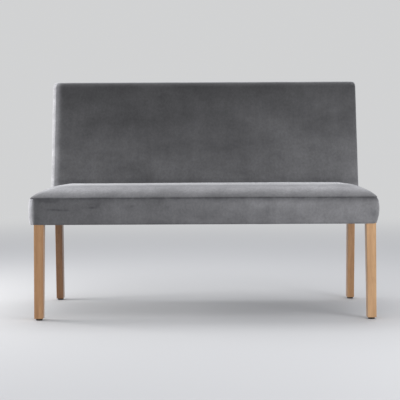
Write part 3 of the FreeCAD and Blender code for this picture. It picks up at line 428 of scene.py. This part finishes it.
def ring(half, front, rear, corner, rear_corner, z, steps, swell=0.0, left_fuller=0.0):
    """One level ring of points, from the front left corner to the right, the rear and the left."""
    long_steps, side_steps = steps
    points = []
    width = 2 * (half - corner)
    for share in spaced(long_steps, width)[:-1]:
        x = -half + corner + width * share
        points.append((x, front - swell * (1 - (x / half) ** 2), z))

    def turn(cx, cy, radius, start):
        for i in range(corner_steps):
            angle = start + math.pi / 2 * i / corner_steps
            points.append((cx + radius * math.cos(angle), cy + radius * math.sin(angle), z))

    turn(half - corner, front + corner, corner, -math.pi / 2)
    depth = rear - rear_corner - front - corner
    side = [front + corner + depth * share for share in np.linspace(0, 1, side_steps + 1)[:-1]]
    points.extend((half, y, z) for y in side)
    turn(half - rear_corner, rear - rear_corner, rear_corner, 0.0)
    width = 2 * (half - rear_corner)
    for share in spaced(long_steps, width)[:-1]:
        points.append((half - rear_corner - width * share, rear, z))
    turn(-half + rear_corner, rear - rear_corner, rear_corner, math.pi / 2)
    side = [rear - rear_corner - depth * share for share in np.linspace(0, 1, side_steps + 1)[:-1]]
    points.extend((-half, y, z) for y in side)
    turn(-half + corner, front + corner, corner, math.pi)
    if left_fuller:
        for i, (x, y, _) in enumerate(points):
            if x < 0:
                fade = clamped((rear - y) / left_fade_depth)
                points[i] = (x - left_fuller * fade * abs(x / half) ** 8, y, z)
    return points


def column_panels(steps):
    """The panel of each column of faces round a ring."""
    long_steps, side_steps = steps
    round_steps = corner_steps + side_steps + corner_steps
    return (
        ["front"] * long_steps + ["right"] * round_steps
        + ["rear"] * long_steps + ["left"] * round_steps
    )


def cap_points(loop, steps, crown):
    """A grid of points that closes a ring, blended from its four sides, with a crown at each end."""
    long_steps, side_steps = steps
    count, half_corner = len(loop), corner_steps // 2
    across, along = long_steps + corner_steps, side_steps + corner_steps
    index = [[None] * (along + 1) for _ in range(across + 1)]
    start = count - half_corner
    for u in range(across + 1):
        index[u][0] = (start + u) % count
        index[u][along] = (start + 2 * across + along - u) % count
    for v in range(along + 1):
        index[across][v] = (start + across + v) % count
        index[0][v] = (start + 2 * across + 2 * along - v) % count
    ring_points = [Vector(p) for p in loop]
    inner = []
    for u in range(1, across):
        for v in range(1, along):
            a, b = u / across, v / along
            low, high = ring_points[index[u][0]], ring_points[index[u][along]]
            left, right = ring_points[index[0][v]], ring_points[index[across][v]]
            corners = (
                ring_points[index[0][0]] * (1 - a) * (1 - b) + ring_points[index[across][0]] * a * (1 - b)
                + ring_points[index[0][along]] * (1 - a) * b + ring_points[index[across][along]] * a * b
            )
            point = low * (1 - b) + high * b + left * (1 - a) + right * a - corners
            fuller = crown[0] * (1 - a) + crown[1] * a
            point.z += fuller * math.sin(math.pi * a) ** 0.5 * math.sin(math.pi * b) ** 0.7
            index[u][v] = count + len(inner)
            inner.append(tuple(point))
    return inner, index


def padded_form(name, rings, row_panels, steps, crown, panels):
    """A form from stacked rings, closed on top. Each face's material index says what panel it is in."""
    count = len(rings[0])
    points = [p for loop in rings for p in loop]
    offset = count * (len(rings) - 1)
    inner, index = cap_points(rings[-1], steps, crown)
    points += inner
    columns = column_panels(steps)
    faces, tags = [], []
    for row in range(len(rings) - 1):
        for i in range(count):
            j = (i + 1) % count
            a = row * count
            faces.append((a + i, a + j, a + count + j, a + count + i))
            tags.append(panels.index(row_panels(row, columns[i])))
    for u in range(len(index) - 1):
        for v in range(len(index[0]) - 1):
            corners = (index[u][v], index[u + 1][v], index[u + 1][v + 1], index[u][v + 1])
            faces.append(tuple(offset + c for c in corners))
            tags.append(panels.index(row_panels(len(rings) - 1, "top")))
    mesh = bpy.data.meshes.new(name)
    mesh.from_pydata(points, [], faces)
    for _ in panels:
        mesh.materials.append(velvet)
    mesh.polygons.foreach_set("material_index", tags)
    form = bpy.data.objects.new(name, mesh)
    bpy.context.collection.objects.link(form)
    return form


# The form of the seat: boxed band, seam and crowned top

bulge_heights = [0.0, 0.27, 0.57, 0.84, 1.0]
bulge_amounts = [0.28, 0.8, 1.0, 0.84, 0.5]
bulge_curve = np.polyfit(bulge_heights, bulge_amounts, 3)


def bulge_at(share):
    """The band's bulge at a share of its height: a smooth curve close to the solid band's outlines."""
    return float(np.polyval(bulge_curve, share))


def seat_rings(steps):
    """The rings of the seat from the hem up, and the row that each begins: hem, band or top."""
    band_height = seam_height - seat_bottom
    rings, rows = [], []

    def add(z, bulge, inset, kind, drawn=0.0):
        back_drawn = drawn * seat_back_roll_share
        share = clamped((z - hem_height) / (seam_height - hem_height))
        left_reach = left_band_reach * (1 - left_band_straightness * (2 * share - 1) ** 4)
        rings.append(ring(
            half_frame + side_bulge * bulge - inset - drawn,
            frame_front - front_bulge * bulge + inset + drawn,
            seat_rear - back_drawn,
            max(band_corner - inset, 0.002) + drawn / 2,
            tight_corner + back_drawn,
            z,
            steps,
            left_fuller=(left_reach - side_bulge * bulge) * max(0.0, 1 - drawn / left_fade_drawn),
        ))
        rows.append(kind)

    low_bulge = bulge_at(0.0)
    for inset in hem_insets:
        add(hem_height, low_bulge, inset, "hem")
    add(hem_height + 0.0007, low_bulge, 0.0008, "band")
    for share in np.linspace(0.03, 0.95, 22):
        fuller = -seam_lip if share > 0.85 else 0.0
        add(seat_bottom + band_height * float(share), bulge_at(share), fuller, "band")
    seam_bulge = bulge_at(1.0)
    add(seam_height - 0.0025, seam_bulge, -seam_lip / 2, "band")
    add(seam_height, seam_bulge, 0.0016, "top")
    dome, power = seat_crown - seam_height, 2 / seat_roll_fullness
    for degrees in (5, 11, 17, 23, 30, 38, 46, 54, 62, 70, 79, 90):
        angle = math.radians(degrees)
        fuller = -seam_lip * bell(degrees - 11, 7)
        z = seam_height + dome * math.sin(angle) ** power
        level = max(0.0, math.cos(angle)) ** power
        add(z, seam_bulge, fuller, "top", seat_roll * (1 - level))
    return rings, rows


def back_rings(steps):
    """The rings of the back from the hem up, and the row that each begins: hem, low or high."""
    rings, rows = [], []
    band_height = seam_height - seat_bottom
    roll_start = back_top - top_roll_height
    span = back_top - seam_height

    def add(z, bulge, rolled, kind, inset=0.0):
        share = clamped((z - seam_height) / span)
        crown = back_crown * max(0.08, math.sin(math.pi * share) ** 0.6)
        front = upright_front + (z - seam_height) * front_lean - back_padding + top_roll_front * rolled
        corner = back_corner
        if z < seam_height - 0.001:
            front, crown, corner = side_seam, 0.0, tight_corner
        rear = knee_rear + (z - seat_bottom) * rear_lean + back_skin - top_roll_rear * rolled - inset
        half = half_frame + side_bulge * bulge - top_roll_side * rolled - inset
        rings.append(ring(half, front, rear, corner, back_rear_corner, z, steps, swell=crown))
        rows.append(kind)

    low_bulge = bulge_at(0.0)
    for inset in hem_insets:
        add(hem_height, low_bulge, 0.0, "hem", inset)
    for share in (0.015, 0.1, 0.2, 0.3, 0.4, 0.5):
        add(seat_bottom + band_height * share, bulge_at(share), 0.0, "low")
    for share in (0.65, 0.8, 0.93):
        add(seat_bottom + band_height * share, 1.0, 0.0, "low")
    add(seam_height - 0.0015, 1.0, 0.0, "low")
    for z in np.linspace(seam_height, roll_start, 44):
        add(float(z), 1.0, 0.0, "high")
    for degrees in (12, 26, 40, 54, 68, 80, 90):
        angle = math.radians(degrees)
        add(roll_start + top_roll_height * math.sin(angle), 1.0, 1 - math.cos(angle), "high")
    return rings, rows


# Filling out, creases and cutting into panels

cover_pressure = 2.5
cover_sink = 0.0009
ripple_height = 0.0008
ripple_scale = 9.0
settling_frames = 20
faintest_mark = 0.004
ragged_scale = 60.0


def rows_of_three(items, key):
    """The places or normals of all vertices, one row for each."""
    values = np.empty(len(items) * 3)
    items.foreach_get(key, values)
    return values.reshape(-1, 3)


def fill_out(form, outward, held, loosened):
    """Lets the cover fill out over its padding, slack where loosened says, and keeps it near its form."""
    mesh = form.data
    rest = rows_of_three(mesh.vertices, "co")
    normals = rows_of_three(mesh.vertex_normals, "vector")
    pins = form.vertex_groups.new(name="held")
    slack = form.vertex_groups.new(name="slack")
    for i, point in enumerate(rest):
        pins.add([i], held(point), "REPLACE")
        slack.add([i], loosened(point), "REPLACE")
    ripple = np.array([noise.noise(Vector(p) * ripple_scale) for p in rest])
    mesh.vertices.foreach_set("co", (rest + normals * (ripple * ripple_height)[:, None]).ravel())
    cloth = form.modifiers.new("cover_settling", "CLOTH")
    settings = cloth.settings
    settings.quality = 6
    settings.mass = 0.25
    settings.tension_stiffness = 22.0
    settings.compression_stiffness = 22.0
    settings.shear_stiffness = 8.0
    settings.bending_stiffness = 0.12
    settings.use_pressure = True
    settings.uniform_pressure_force = cover_pressure
    settings.vertex_group_mass = "held"
    settings.pin_stiffness = 1.0
    settings.vertex_group_shrink = "slack"
    settings.shrink_min = 0.0
    settings.shrink_max = -0.035
    settings.effector_weights.gravity = 0.0
    cloth.point_cache.frame_start = 1
    cloth.point_cache.frame_end = settling_frames
    scene = bpy.context.scene
    for step in range(settling_frames):
        scene.frame_set(step + 1)
    settled = form.evaluated_get(bpy.context.evaluated_depsgraph_get()).data
    shift = rows_of_three(settled.vertices, "co") - rest
    form.modifiers.remove(cloth)
    scene.frame_set(1)
    along = (shift * normals).sum(axis=1)
    shift += normals * (np.clip(along, -cover_sink, outward) - along)[:, None]
    length = np.linalg.norm(shift, axis=1)
    limit = np.minimum(1.0, outward / np.maximum(length, 1e-9))
    mesh.vertices.foreach_set("co", (rest + shift * limit[:, None]).ravel())
    mesh.update()


def apply_modifier(piece, kind, **settings):
    """Adds a modifier to a piece and makes its result the piece's own mesh."""
    made = piece.modifiers.new(kind.lower(), kind)
    for name, value in settings.items():
        setattr(made, name, value)
    bpy.context.view_layer.objects.active = piece
    bpy.ops.object.modifier_apply(modifier=made.name)


def press_creases_and_paint_shade(form, creases, shade_lines):
    """Presses small creases into the pile with painted shade in them, and paints shade along level lines.

    A crease has a middle, half sizes, a depth and a darkness.
    A shade line has a height, a half width and a darkness.
    """
    mesh = form.data
    count = len(mesh.vertices)
    places = rows_of_three(mesh.vertices, "co")
    normals = rows_of_three(mesh.vertex_normals, "vector")
    shift, tone = np.zeros(count), np.zeros(count)
    for middle, half_size, depth, darkness in creases:
        weight = np.exp(-(((places - middle) / half_size) ** 2).sum(axis=1))
        shift += depth * weight
        # Painted shade in each crease.
        tone += darkness * weight
    # Painted shade along each level line.
    for high, wide, darkness in shade_lines:
        tone += darkness * np.exp(-((places[:, 2] - high) / wide) ** 2)
    touched = np.nonzero(tone > faintest_mark)[0]
    ragged = np.ones(count)
    ragged[touched] = [0.75 + 0.5 * noise.noise(Vector(places[i]) * ragged_scale) for i in touched]
    places -= normals * (shift * ragged)[:, None]
    mesh.vertices.foreach_set("co", places.ravel())
    mark = mesh.attributes.new("painted_shade", "FLOAT", "POINT")
    mark.data.foreach_set("value", np.clip(tone * ragged, 0.0, 1.0))
    mesh.update()


def paint_light_and_shade(mesh, painted_tone):
    """Stores painted light and shade at each point of a panel, as a tone on its base colour."""
    mark = mesh.attributes.new("painted_light_and_shade", "FLOAT", "POINT")
    mark.data.foreach_set("value", [painted_tone(vertex.co) for vertex in mesh.vertices])


def on_hem(centre):
    """Whether a face lies on the strip that is turned in under the frame."""
    return centre.z < hem_height + 0.0006


def cut_panel(form, name, panel, painted_tone, keep=None, pile=velvet):
    """Copies one panel of a form, gives the cloth its thickness and rides it on the bench as padding."""
    piece = bpy.data.objects.new(name, form.data.copy())
    bpy.context.collection.objects.link(piece)
    cloth = bmesh.new()
    cloth.from_mesh(piece.data)
    unwanted = [
        f for f in cloth.faces
        if f.material_index != panel or (keep is not None and not keep(f.calc_center_median()))
    ]
    bmesh.ops.delete(cloth, geom=unwanted, context="FACES")
    for face in cloth.faces:
        face.material_index = 0
        face.smooth = True
    cloth.to_mesh(piece.data)
    cloth.free()
    piece.data.materials.clear()
    piece.data.materials.append(pile)
    apply_modifier(piece, "SOLIDIFY", thickness=cloth_thickness, offset=-1.0, use_even_offset=False)
    paint_light_and_shade(piece.data, painted_tone)
    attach(piece, "root")
    return piece


def make_seat():
    """The velvet of the seat, cut from one filled form: the top, the front band and both side bands."""
    rings, rows = seat_rings(seat_steps)
    panels = ["front", "right", "left", "top", "rear"]

    def row_panels(row, column):
        if column == "top" or rows[row] == "top":
            return "top"
        return column

    form = padded_form("seat_form", rings, row_panels, seat_steps, (0.001, 0.005), panels)
    half = half_frame + side_bulge
    front_y = cad_low[1]

    def held(point):
        """Held fast where it is tacked to the frame and against the back, and nearly fast at the seam."""
        _, y, z = point
        if z < seat_bottom + 0.004 or y > seat_rear - 0.006:
            return 1.0
        if abs(z - seam_height) < 0.0012:
            return 0.97
        return 0.0

    def loosened(point):
        """Slack at both front corners, and in patches elsewhere, more on the bands than on top."""
        x, y, z = point
        corner = bell(math.hypot(half - abs(x), y - front_y), 0.16)
        band = 0.35 if z < seam_height - 0.003 else 0.1
        patch = 0.5 + 0.5 * noise.noise(Vector((x * 3.1, y * 3.1, z * 5.0 + 2.0)))
        return clamped(0.9 * corner + band * patch)

    fill_out(form, 0.0055, held, loosened)
    apply_modifier(form, "SUBSURF", levels=1, render_levels=1)
    # Creases pressed into the bands and the top, each darkened with painted shade.
    creases = [
        ((-0.588, front_y, 0.4305), (0.024, 0.05, 0.0038), 0.0020, 1.00),
        ((-0.550, front_y, 0.4280), (0.026, 0.05, 0.0034), 0.0014, 0.85),
        ((-0.440, front_y, 0.4380), (0.020, 0.05, 0.0038), 0.0020, 1.00),
        ((-0.418, front_y, 0.4440), (0.007, 0.05, 0.0080), 0.0014, 0.80),
        ((-0.310, front_y, 0.4370), (0.012, 0.05, 0.0050), 0.0010, 0.55),
        ((-0.284, front_y, 0.4430), (0.008, 0.05, 0.0060), 0.0010, 0.50),
        ((-0.150, front_y, 0.4360), (0.010, 0.05, 0.0110), 0.0008, 0.40),
        ((-0.612, front_y, 0.4635), (0.045, 0.06, 0.0070), 0.0010, 0.75),
        ((0.648, front_y, 0.4220), (0.018, 0.05, 0.0110), 0.0006, 0.60),
        ((0.656, front_y, 0.4040), (0.016, 0.05, 0.0120), 0.0006, 0.60),
        ((0.640, front_y, 0.4460), (0.018, 0.05, 0.0050), 0.0006, 0.30),
        ((-0.060, front_y, 0.4240), (0.020, 0.05, 0.0120), 0.0004, 0.25),
        ((0.240, front_y, 0.4300), (0.010, 0.05, 0.0160), 0.0004, 0.22),
        ((0.660, front_y, 0.4700), (0.032, 0.04, 0.0060), 0.0010, 0.75),
    ]
    # Painted shade along the seam, under its fold and along the hem.
    shade_lines = [
        (seam_height, 0.0042, 1.00),
        (seam_height - 0.006, 0.006, 0.32),
        (hem_height, 0.0055, 0.45),
    ]
    press_creases_and_paint_shade(form, creases, shade_lines)
    leg_edge = half_frame - leg_size - hem_gap
    leg_back = frame_front + leg_size + hem_gap

    def off_the_legs(centre):
        return not (on_hem(centre) and abs(centre.x) > leg_edge and centre.y < leg_back)

    def band_painted_light(point):
        """Painted light, lighter towards the right, and there painted shade close under the seam, darker
        than lower down.
        """
        across = clamped((point.x + 0.8 * half) / (1.68 * half))
        to_right = across * across * (3 - 2 * across)
        low = clamped((seam_height - point.z) / (seam_height - hem_height))
        under_seam = bell(point.z - seam_height, 0.016)
        return (1.03 + 0.64 * to_right) * (1.0 - 0.30 * to_right * under_seam + 0.07 * to_right * low)

    def front_painted_light(point):
        """As the whole band, with a painted highlight along the edge where it meets the left band."""
        near_left = bell(point.x + half - 0.75 * band_corner, 0.005)
        return band_painted_light(point) + 2.0 * near_left

    def left_painted_light(point):
        """As the whole band, with a ruffled painted highlight towards the front."""
        near_front = bell(point.y - front_y - front_bulge / 2, 0.026)
        ruffled = 1.0 + 0.22 * noise.noise(Vector((0.0, point.y * 30.0, point.z * 45.0)))
        return band_painted_light(point) + 3.8 * near_front * ruffled

    def top_painted_light(point):
        """Painted light: lighter up the rolled edge, lightest below the crown, and lighter at the ends,
        more so left.
        """
        share = clamped((point.z - seam_height) / (seat_crown - seam_height))
        ends = min(1.0, abs(point.x) / (0.75 * half)) ** 2
        roll = bell(share - 0.72, 0.27 if share < 0.72 else 0.20)
        across = 0.86 + 0.29 * ends - 0.12 * point.x / half
        return (1.07 + 1.10 * share - 0.44 * share * share) * (1.0 + 0.40 * roll) * across

    def in_sight(centre):
        """Leaves out the low rear strip of the top panel, which is pressed against the back."""
        return centre.y < seat_rear - 0.0005 or centre.z > seam_height + 0.02

    top = cut_panel(form, "seat_top_velvet", panels.index("top"), top_painted_light, in_sight, seat_top_pile)
    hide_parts("seat_cover_top")
    front = cut_panel(form, "seat_front_band_velvet", panels.index("front"), front_painted_light, off_the_legs)
    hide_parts("seat_cover_front_band")
    right = cut_panel(form, "seat_right_band_velvet", panels.index("right"), band_painted_light, off_the_legs)
    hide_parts("seat_cover_right_band")
    left = cut_panel(form, "seat_left_band_velvet", panels.index("left"), left_painted_light, off_the_legs)
    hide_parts("seat_cover_left_band")
    bpy.data.objects.remove(form)


def make_back():
    """The velvet of the back, cut from one filled form: the front, both sides and the rear."""
    rings, rows = back_rings(back_steps)
    panels = ["front", "right", "left", "rear", "hidden"]

    def row_panels(row, column):
        if column == "top":
            return "front"
        if column == "front" and rows[row] != "high":
            return "hidden"
        return column

    form = padded_form("back_form", rings, row_panels, back_steps, (0.001, 0.001), panels)
    half = half_frame + side_bulge

    def held(point):
        """Held fast behind the seat and where it is tacked to the frame, and nearly fast at the edges."""
        x, y, z = point
        if z < seam_height + 0.045 and y < side_seam + 0.02:
            return 1.0
        rear_frame = knee_rear + (z - seat_bottom) * rear_lean
        if z < seat_bottom + 0.004 or (abs(x) < half_frame and y > rear_frame - 0.004):
            return 1.0
        if abs(abs(x) - (half - back_corner)) < 0.0006:
            return 0.95
        return 0.0

    def loosened(point):
        """Slack in patches, most towards both sides and the top."""
        x, y, z = point
        edge = bell(half - abs(x), 0.07)
        top = bell(back_top - z, 0.05)
        patch = 0.5 + 0.5 * noise.noise(Vector((x * 2.3, y * 2.3 + 7.0, z * 3.1)))
        return clamped(0.45 * edge * patch + 0.35 * top * patch + 0.12 * patch)

    fill_out(form, 0.005, held, loosened)
    apply_modifier(form, "SUBSURF", levels=1, render_levels=1)
    # Creases pressed into the back, darkened with painted shade.
    creases = [
        ((0.33, 0.17, 0.545), (0.05, 0.06, 0.006), 0.0005, 0.25),
        ((-0.30, 0.17, 0.540), (0.07, 0.06, 0.006), 0.0005, 0.22),
    ]
    shade_above_seat = (seat_crown + 0.006, 0.013, 0.40)
    press_creases_and_paint_shade(form, creases, [shade_above_seat])
    hem_edge = half_frame - rear_leg_width - hem_gap

    def off_the_legs(centre):
        return not on_hem(centre) or (abs(centre.x) < hem_edge and centre.y > knee_rear - 0.02)

    def back_painted_light(point):
        """Painted light and shade: lighter from the top down and slightly to the right, and darkest at
        the middle of the top.
        """
        share = clamped((back_top - point.z) / (back_top - seat_crown))
        across = point.x / half
        low = share * (0.52 + 0.06 * across + 0.16 * across * across)
        return 0.46 + low + 0.06 * across - 0.10 * (1 - share) * (1 - across * across)

    def front_painted_light(point):
        """As the whole back, with a painted highlight along the edge where it meets the left side."""
        near_left = bell(point.x + half - back_corner, 0.016)
        return back_painted_light(point) + 1.5 * near_left

    def side_painted_light(point):
        """As the whole back, and on the left side a ruffled painted highlight towards the front."""
        front = upright_front - back_padding + (point.z - seam_height) * front_lean
        near_front = bell(point.y - front, 0.020)
        ruffled = 1.0 + 0.25 * noise.noise(Vector((0.0, point.y * 30.0, point.z * 38.0)))
        return back_painted_light(point) + (3.7 * near_front * ruffled if point.x < 0 else 0.0)

    def rear_lie(_):
        """The same all over."""
        return 0.95

    front = cut_panel(form, "back_front_velvet", panels.index("front"), front_painted_light)
    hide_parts("backrest_cover_front")
    right = cut_panel(form, "back_right_side_velvet", panels.index("right"), side_painted_light, off_the_legs)
    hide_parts("backrest_cover_right_side")
    left = cut_panel(form, "back_left_side_velvet", panels.index("left"), side_painted_light, off_the_legs)
    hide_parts("backrest_cover_left_side")
    rear = cut_panel(form, "back_rear_velvet", panels.index("rear"), rear_lie, off_the_legs)
    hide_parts("backrest_cover_back")
    bpy.data.objects.remove(form)


make_seat()
make_back()


# Floor, backdrop, lights and camera

backdrop_colour = (0.64, 0.645, 0.65, 1.0)
floor_radius = 16.0
fade_start, fade_end = 1.6, 6.5


def seen_directly(nodes, links):
    """1 for rays from the camera, from glossy surfaces and through clear ones, and 0 for the rest."""
    rays = add_node(nodes, "ShaderNodeLightPath")
    total = rays.outputs["Is Camera Ray"]
    for kind in ("Is Glossy Ray", "Is Transmission Ray"):
        either = add_node(nodes, "ShaderNodeMath", operation="MAXIMUM")
        links.new(total, either.inputs[0])
        links.new(rays.outputs[kind], either.inputs[1])
        total = either.outputs["Value"]
    return total


def pale_floor():
    """Matt pale floor that keeps the bench's shadow and fades into the backdrop far from it."""
    material, nodes, links, shader = start_material("pale_floor", (0.54, 0.54, 0.545), 0.9)
    apart = add_node(nodes, "ShaderNodeVectorMath", operation="LENGTH")
    links.new(object_place(nodes), apart.inputs[0])
    fade = add_node(nodes, "ShaderNodeMapRange", interpolation_type="SMOOTHSTEP")
    set_inputs(fade, {"From Min": fade_start, "From Max": fade_end})
    links.new(apart.outputs["Value"], fade.inputs["Value"])
    share = add_node(nodes, "ShaderNodeMath", operation="MULTIPLY")
    links.new(fade.outputs["Result"], share.inputs[0])
    links.new(seen_directly(nodes, links), share.inputs[1])
    far = add_node(nodes, "ShaderNodeEmission")
    set_inputs(far, {"Color": backdrop_colour})
    mixed = add_node(nodes, "ShaderNodeMixShader")
    links.new(share.outputs["Value"], mixed.inputs["Fac"])
    links.new(shader.outputs["BSDF"], mixed.inputs[1])
    links.new(far.outputs["Emission"], mixed.inputs[2])
    links.new(mixed.outputs["Shader"], nodes["Material Output"].inputs["Surface"])
    return material


def make_floor():
    bpy.ops.object.select_all(action="DESELECT")
    bpy.ops.mesh.primitive_circle_add(vertices=96, radius=floor_radius, fill_type="NGON")
    floor = bpy.context.object
    floor.name = "floor"
    floor.data.materials.append(pale_floor())


def light_room(strength):
    """An even soft sky that lights the bench; looked at directly, it is the backdrop's plain colour."""
    room = bpy.data.worlds.new("soft_room")
    bpy.context.scene.world = room
    room.use_nodes = True
    nodes, links = room.node_tree.nodes, room.node_tree.links
    sky = nodes["Background"]
    set_inputs(sky, {"Color": (0.93, 0.95, 1.0, 1.0), "Strength": strength})
    backdrop = add_node(nodes, "ShaderNodeBackground")
    set_inputs(backdrop, {"Color": backdrop_colour})
    mixed = add_node(nodes, "ShaderNodeMixShader")
    links.new(seen_directly(nodes, links), mixed.inputs["Fac"])
    links.new(sky.outputs["Background"], mixed.inputs[1])
    links.new(backdrop.outputs["Background"], mixed.inputs[2])
    links.new(mixed.outputs["Shader"], nodes["World Output"].inputs["Surface"])


def add_area_light(name, place, aim, size, power, colour=(1.0, 1.0, 1.0)):
    lamp = bpy.data.lights.new(name, "AREA")
    lamp.shape = "RECTANGLE"
    lamp.size, lamp.size_y = size
    lamp.energy = power
    lamp.color = colour
    holder = bpy.data.objects.new(name, lamp)
    holder.location = place
    holder.rotation_euler = (Vector(aim) - Vector(place)).to_track_quat("-Z", "Y").to_euler()
    bpy.context.collection.objects.link(holder)


make_floor()
light_room(0.84)
add_area_light("window_left", (-2.3, 0.12, 0.95), (0.0, 0.12, 0.45), (0.9, 0.7), 30.0, (1.0, 0.99, 0.97))
add_area_light("low_right", (1.9, -1.6, 0.85), (0.2, -0.2, 0.4), (0.9, 0.7), 16.0)
add_area_light("overhead", (0.0, 0.4, 2.6), (0.0, 0.1, 0.5), (2.6, 1.0), 21.0)
add_area_light("over_front", (0.0, -0.9, 2.5), (0.0, 0.0, 0.5), (2.6, 0.8), 8.0)

camera_distance = 3.3
camera_height = 0.607
camera_sideways = 0.001
camera_roll = math.radians(0.27)
sensor_width = 36.0
frame_pixels = 400.0
focal_pixels = 850.0
shift_right_pixels = -4.9
shift_up_pixels = -36.3
camera_data = bpy.data.cameras.new("camera")
camera_data.sensor_fit = "HORIZONTAL"
camera_data.sensor_width = sensor_width
camera_data.lens = sensor_width * focal_pixels / frame_pixels
camera_data.shift_x = shift_right_pixels / frame_pixels
camera_data.shift_y = shift_up_pixels / frame_pixels
camera = bpy.data.objects.new("camera", camera_data)
camera.location = (camera_sideways, frame_front - camera_distance, camera_height)
camera.rotation_euler = (math.radians(90.0), camera_roll, 0.0)
bpy.context.collection.objects.link(camera)
bpy.context.scene.camera = camera
bpy.context.scene.view_settings.view_transform = "Standard"
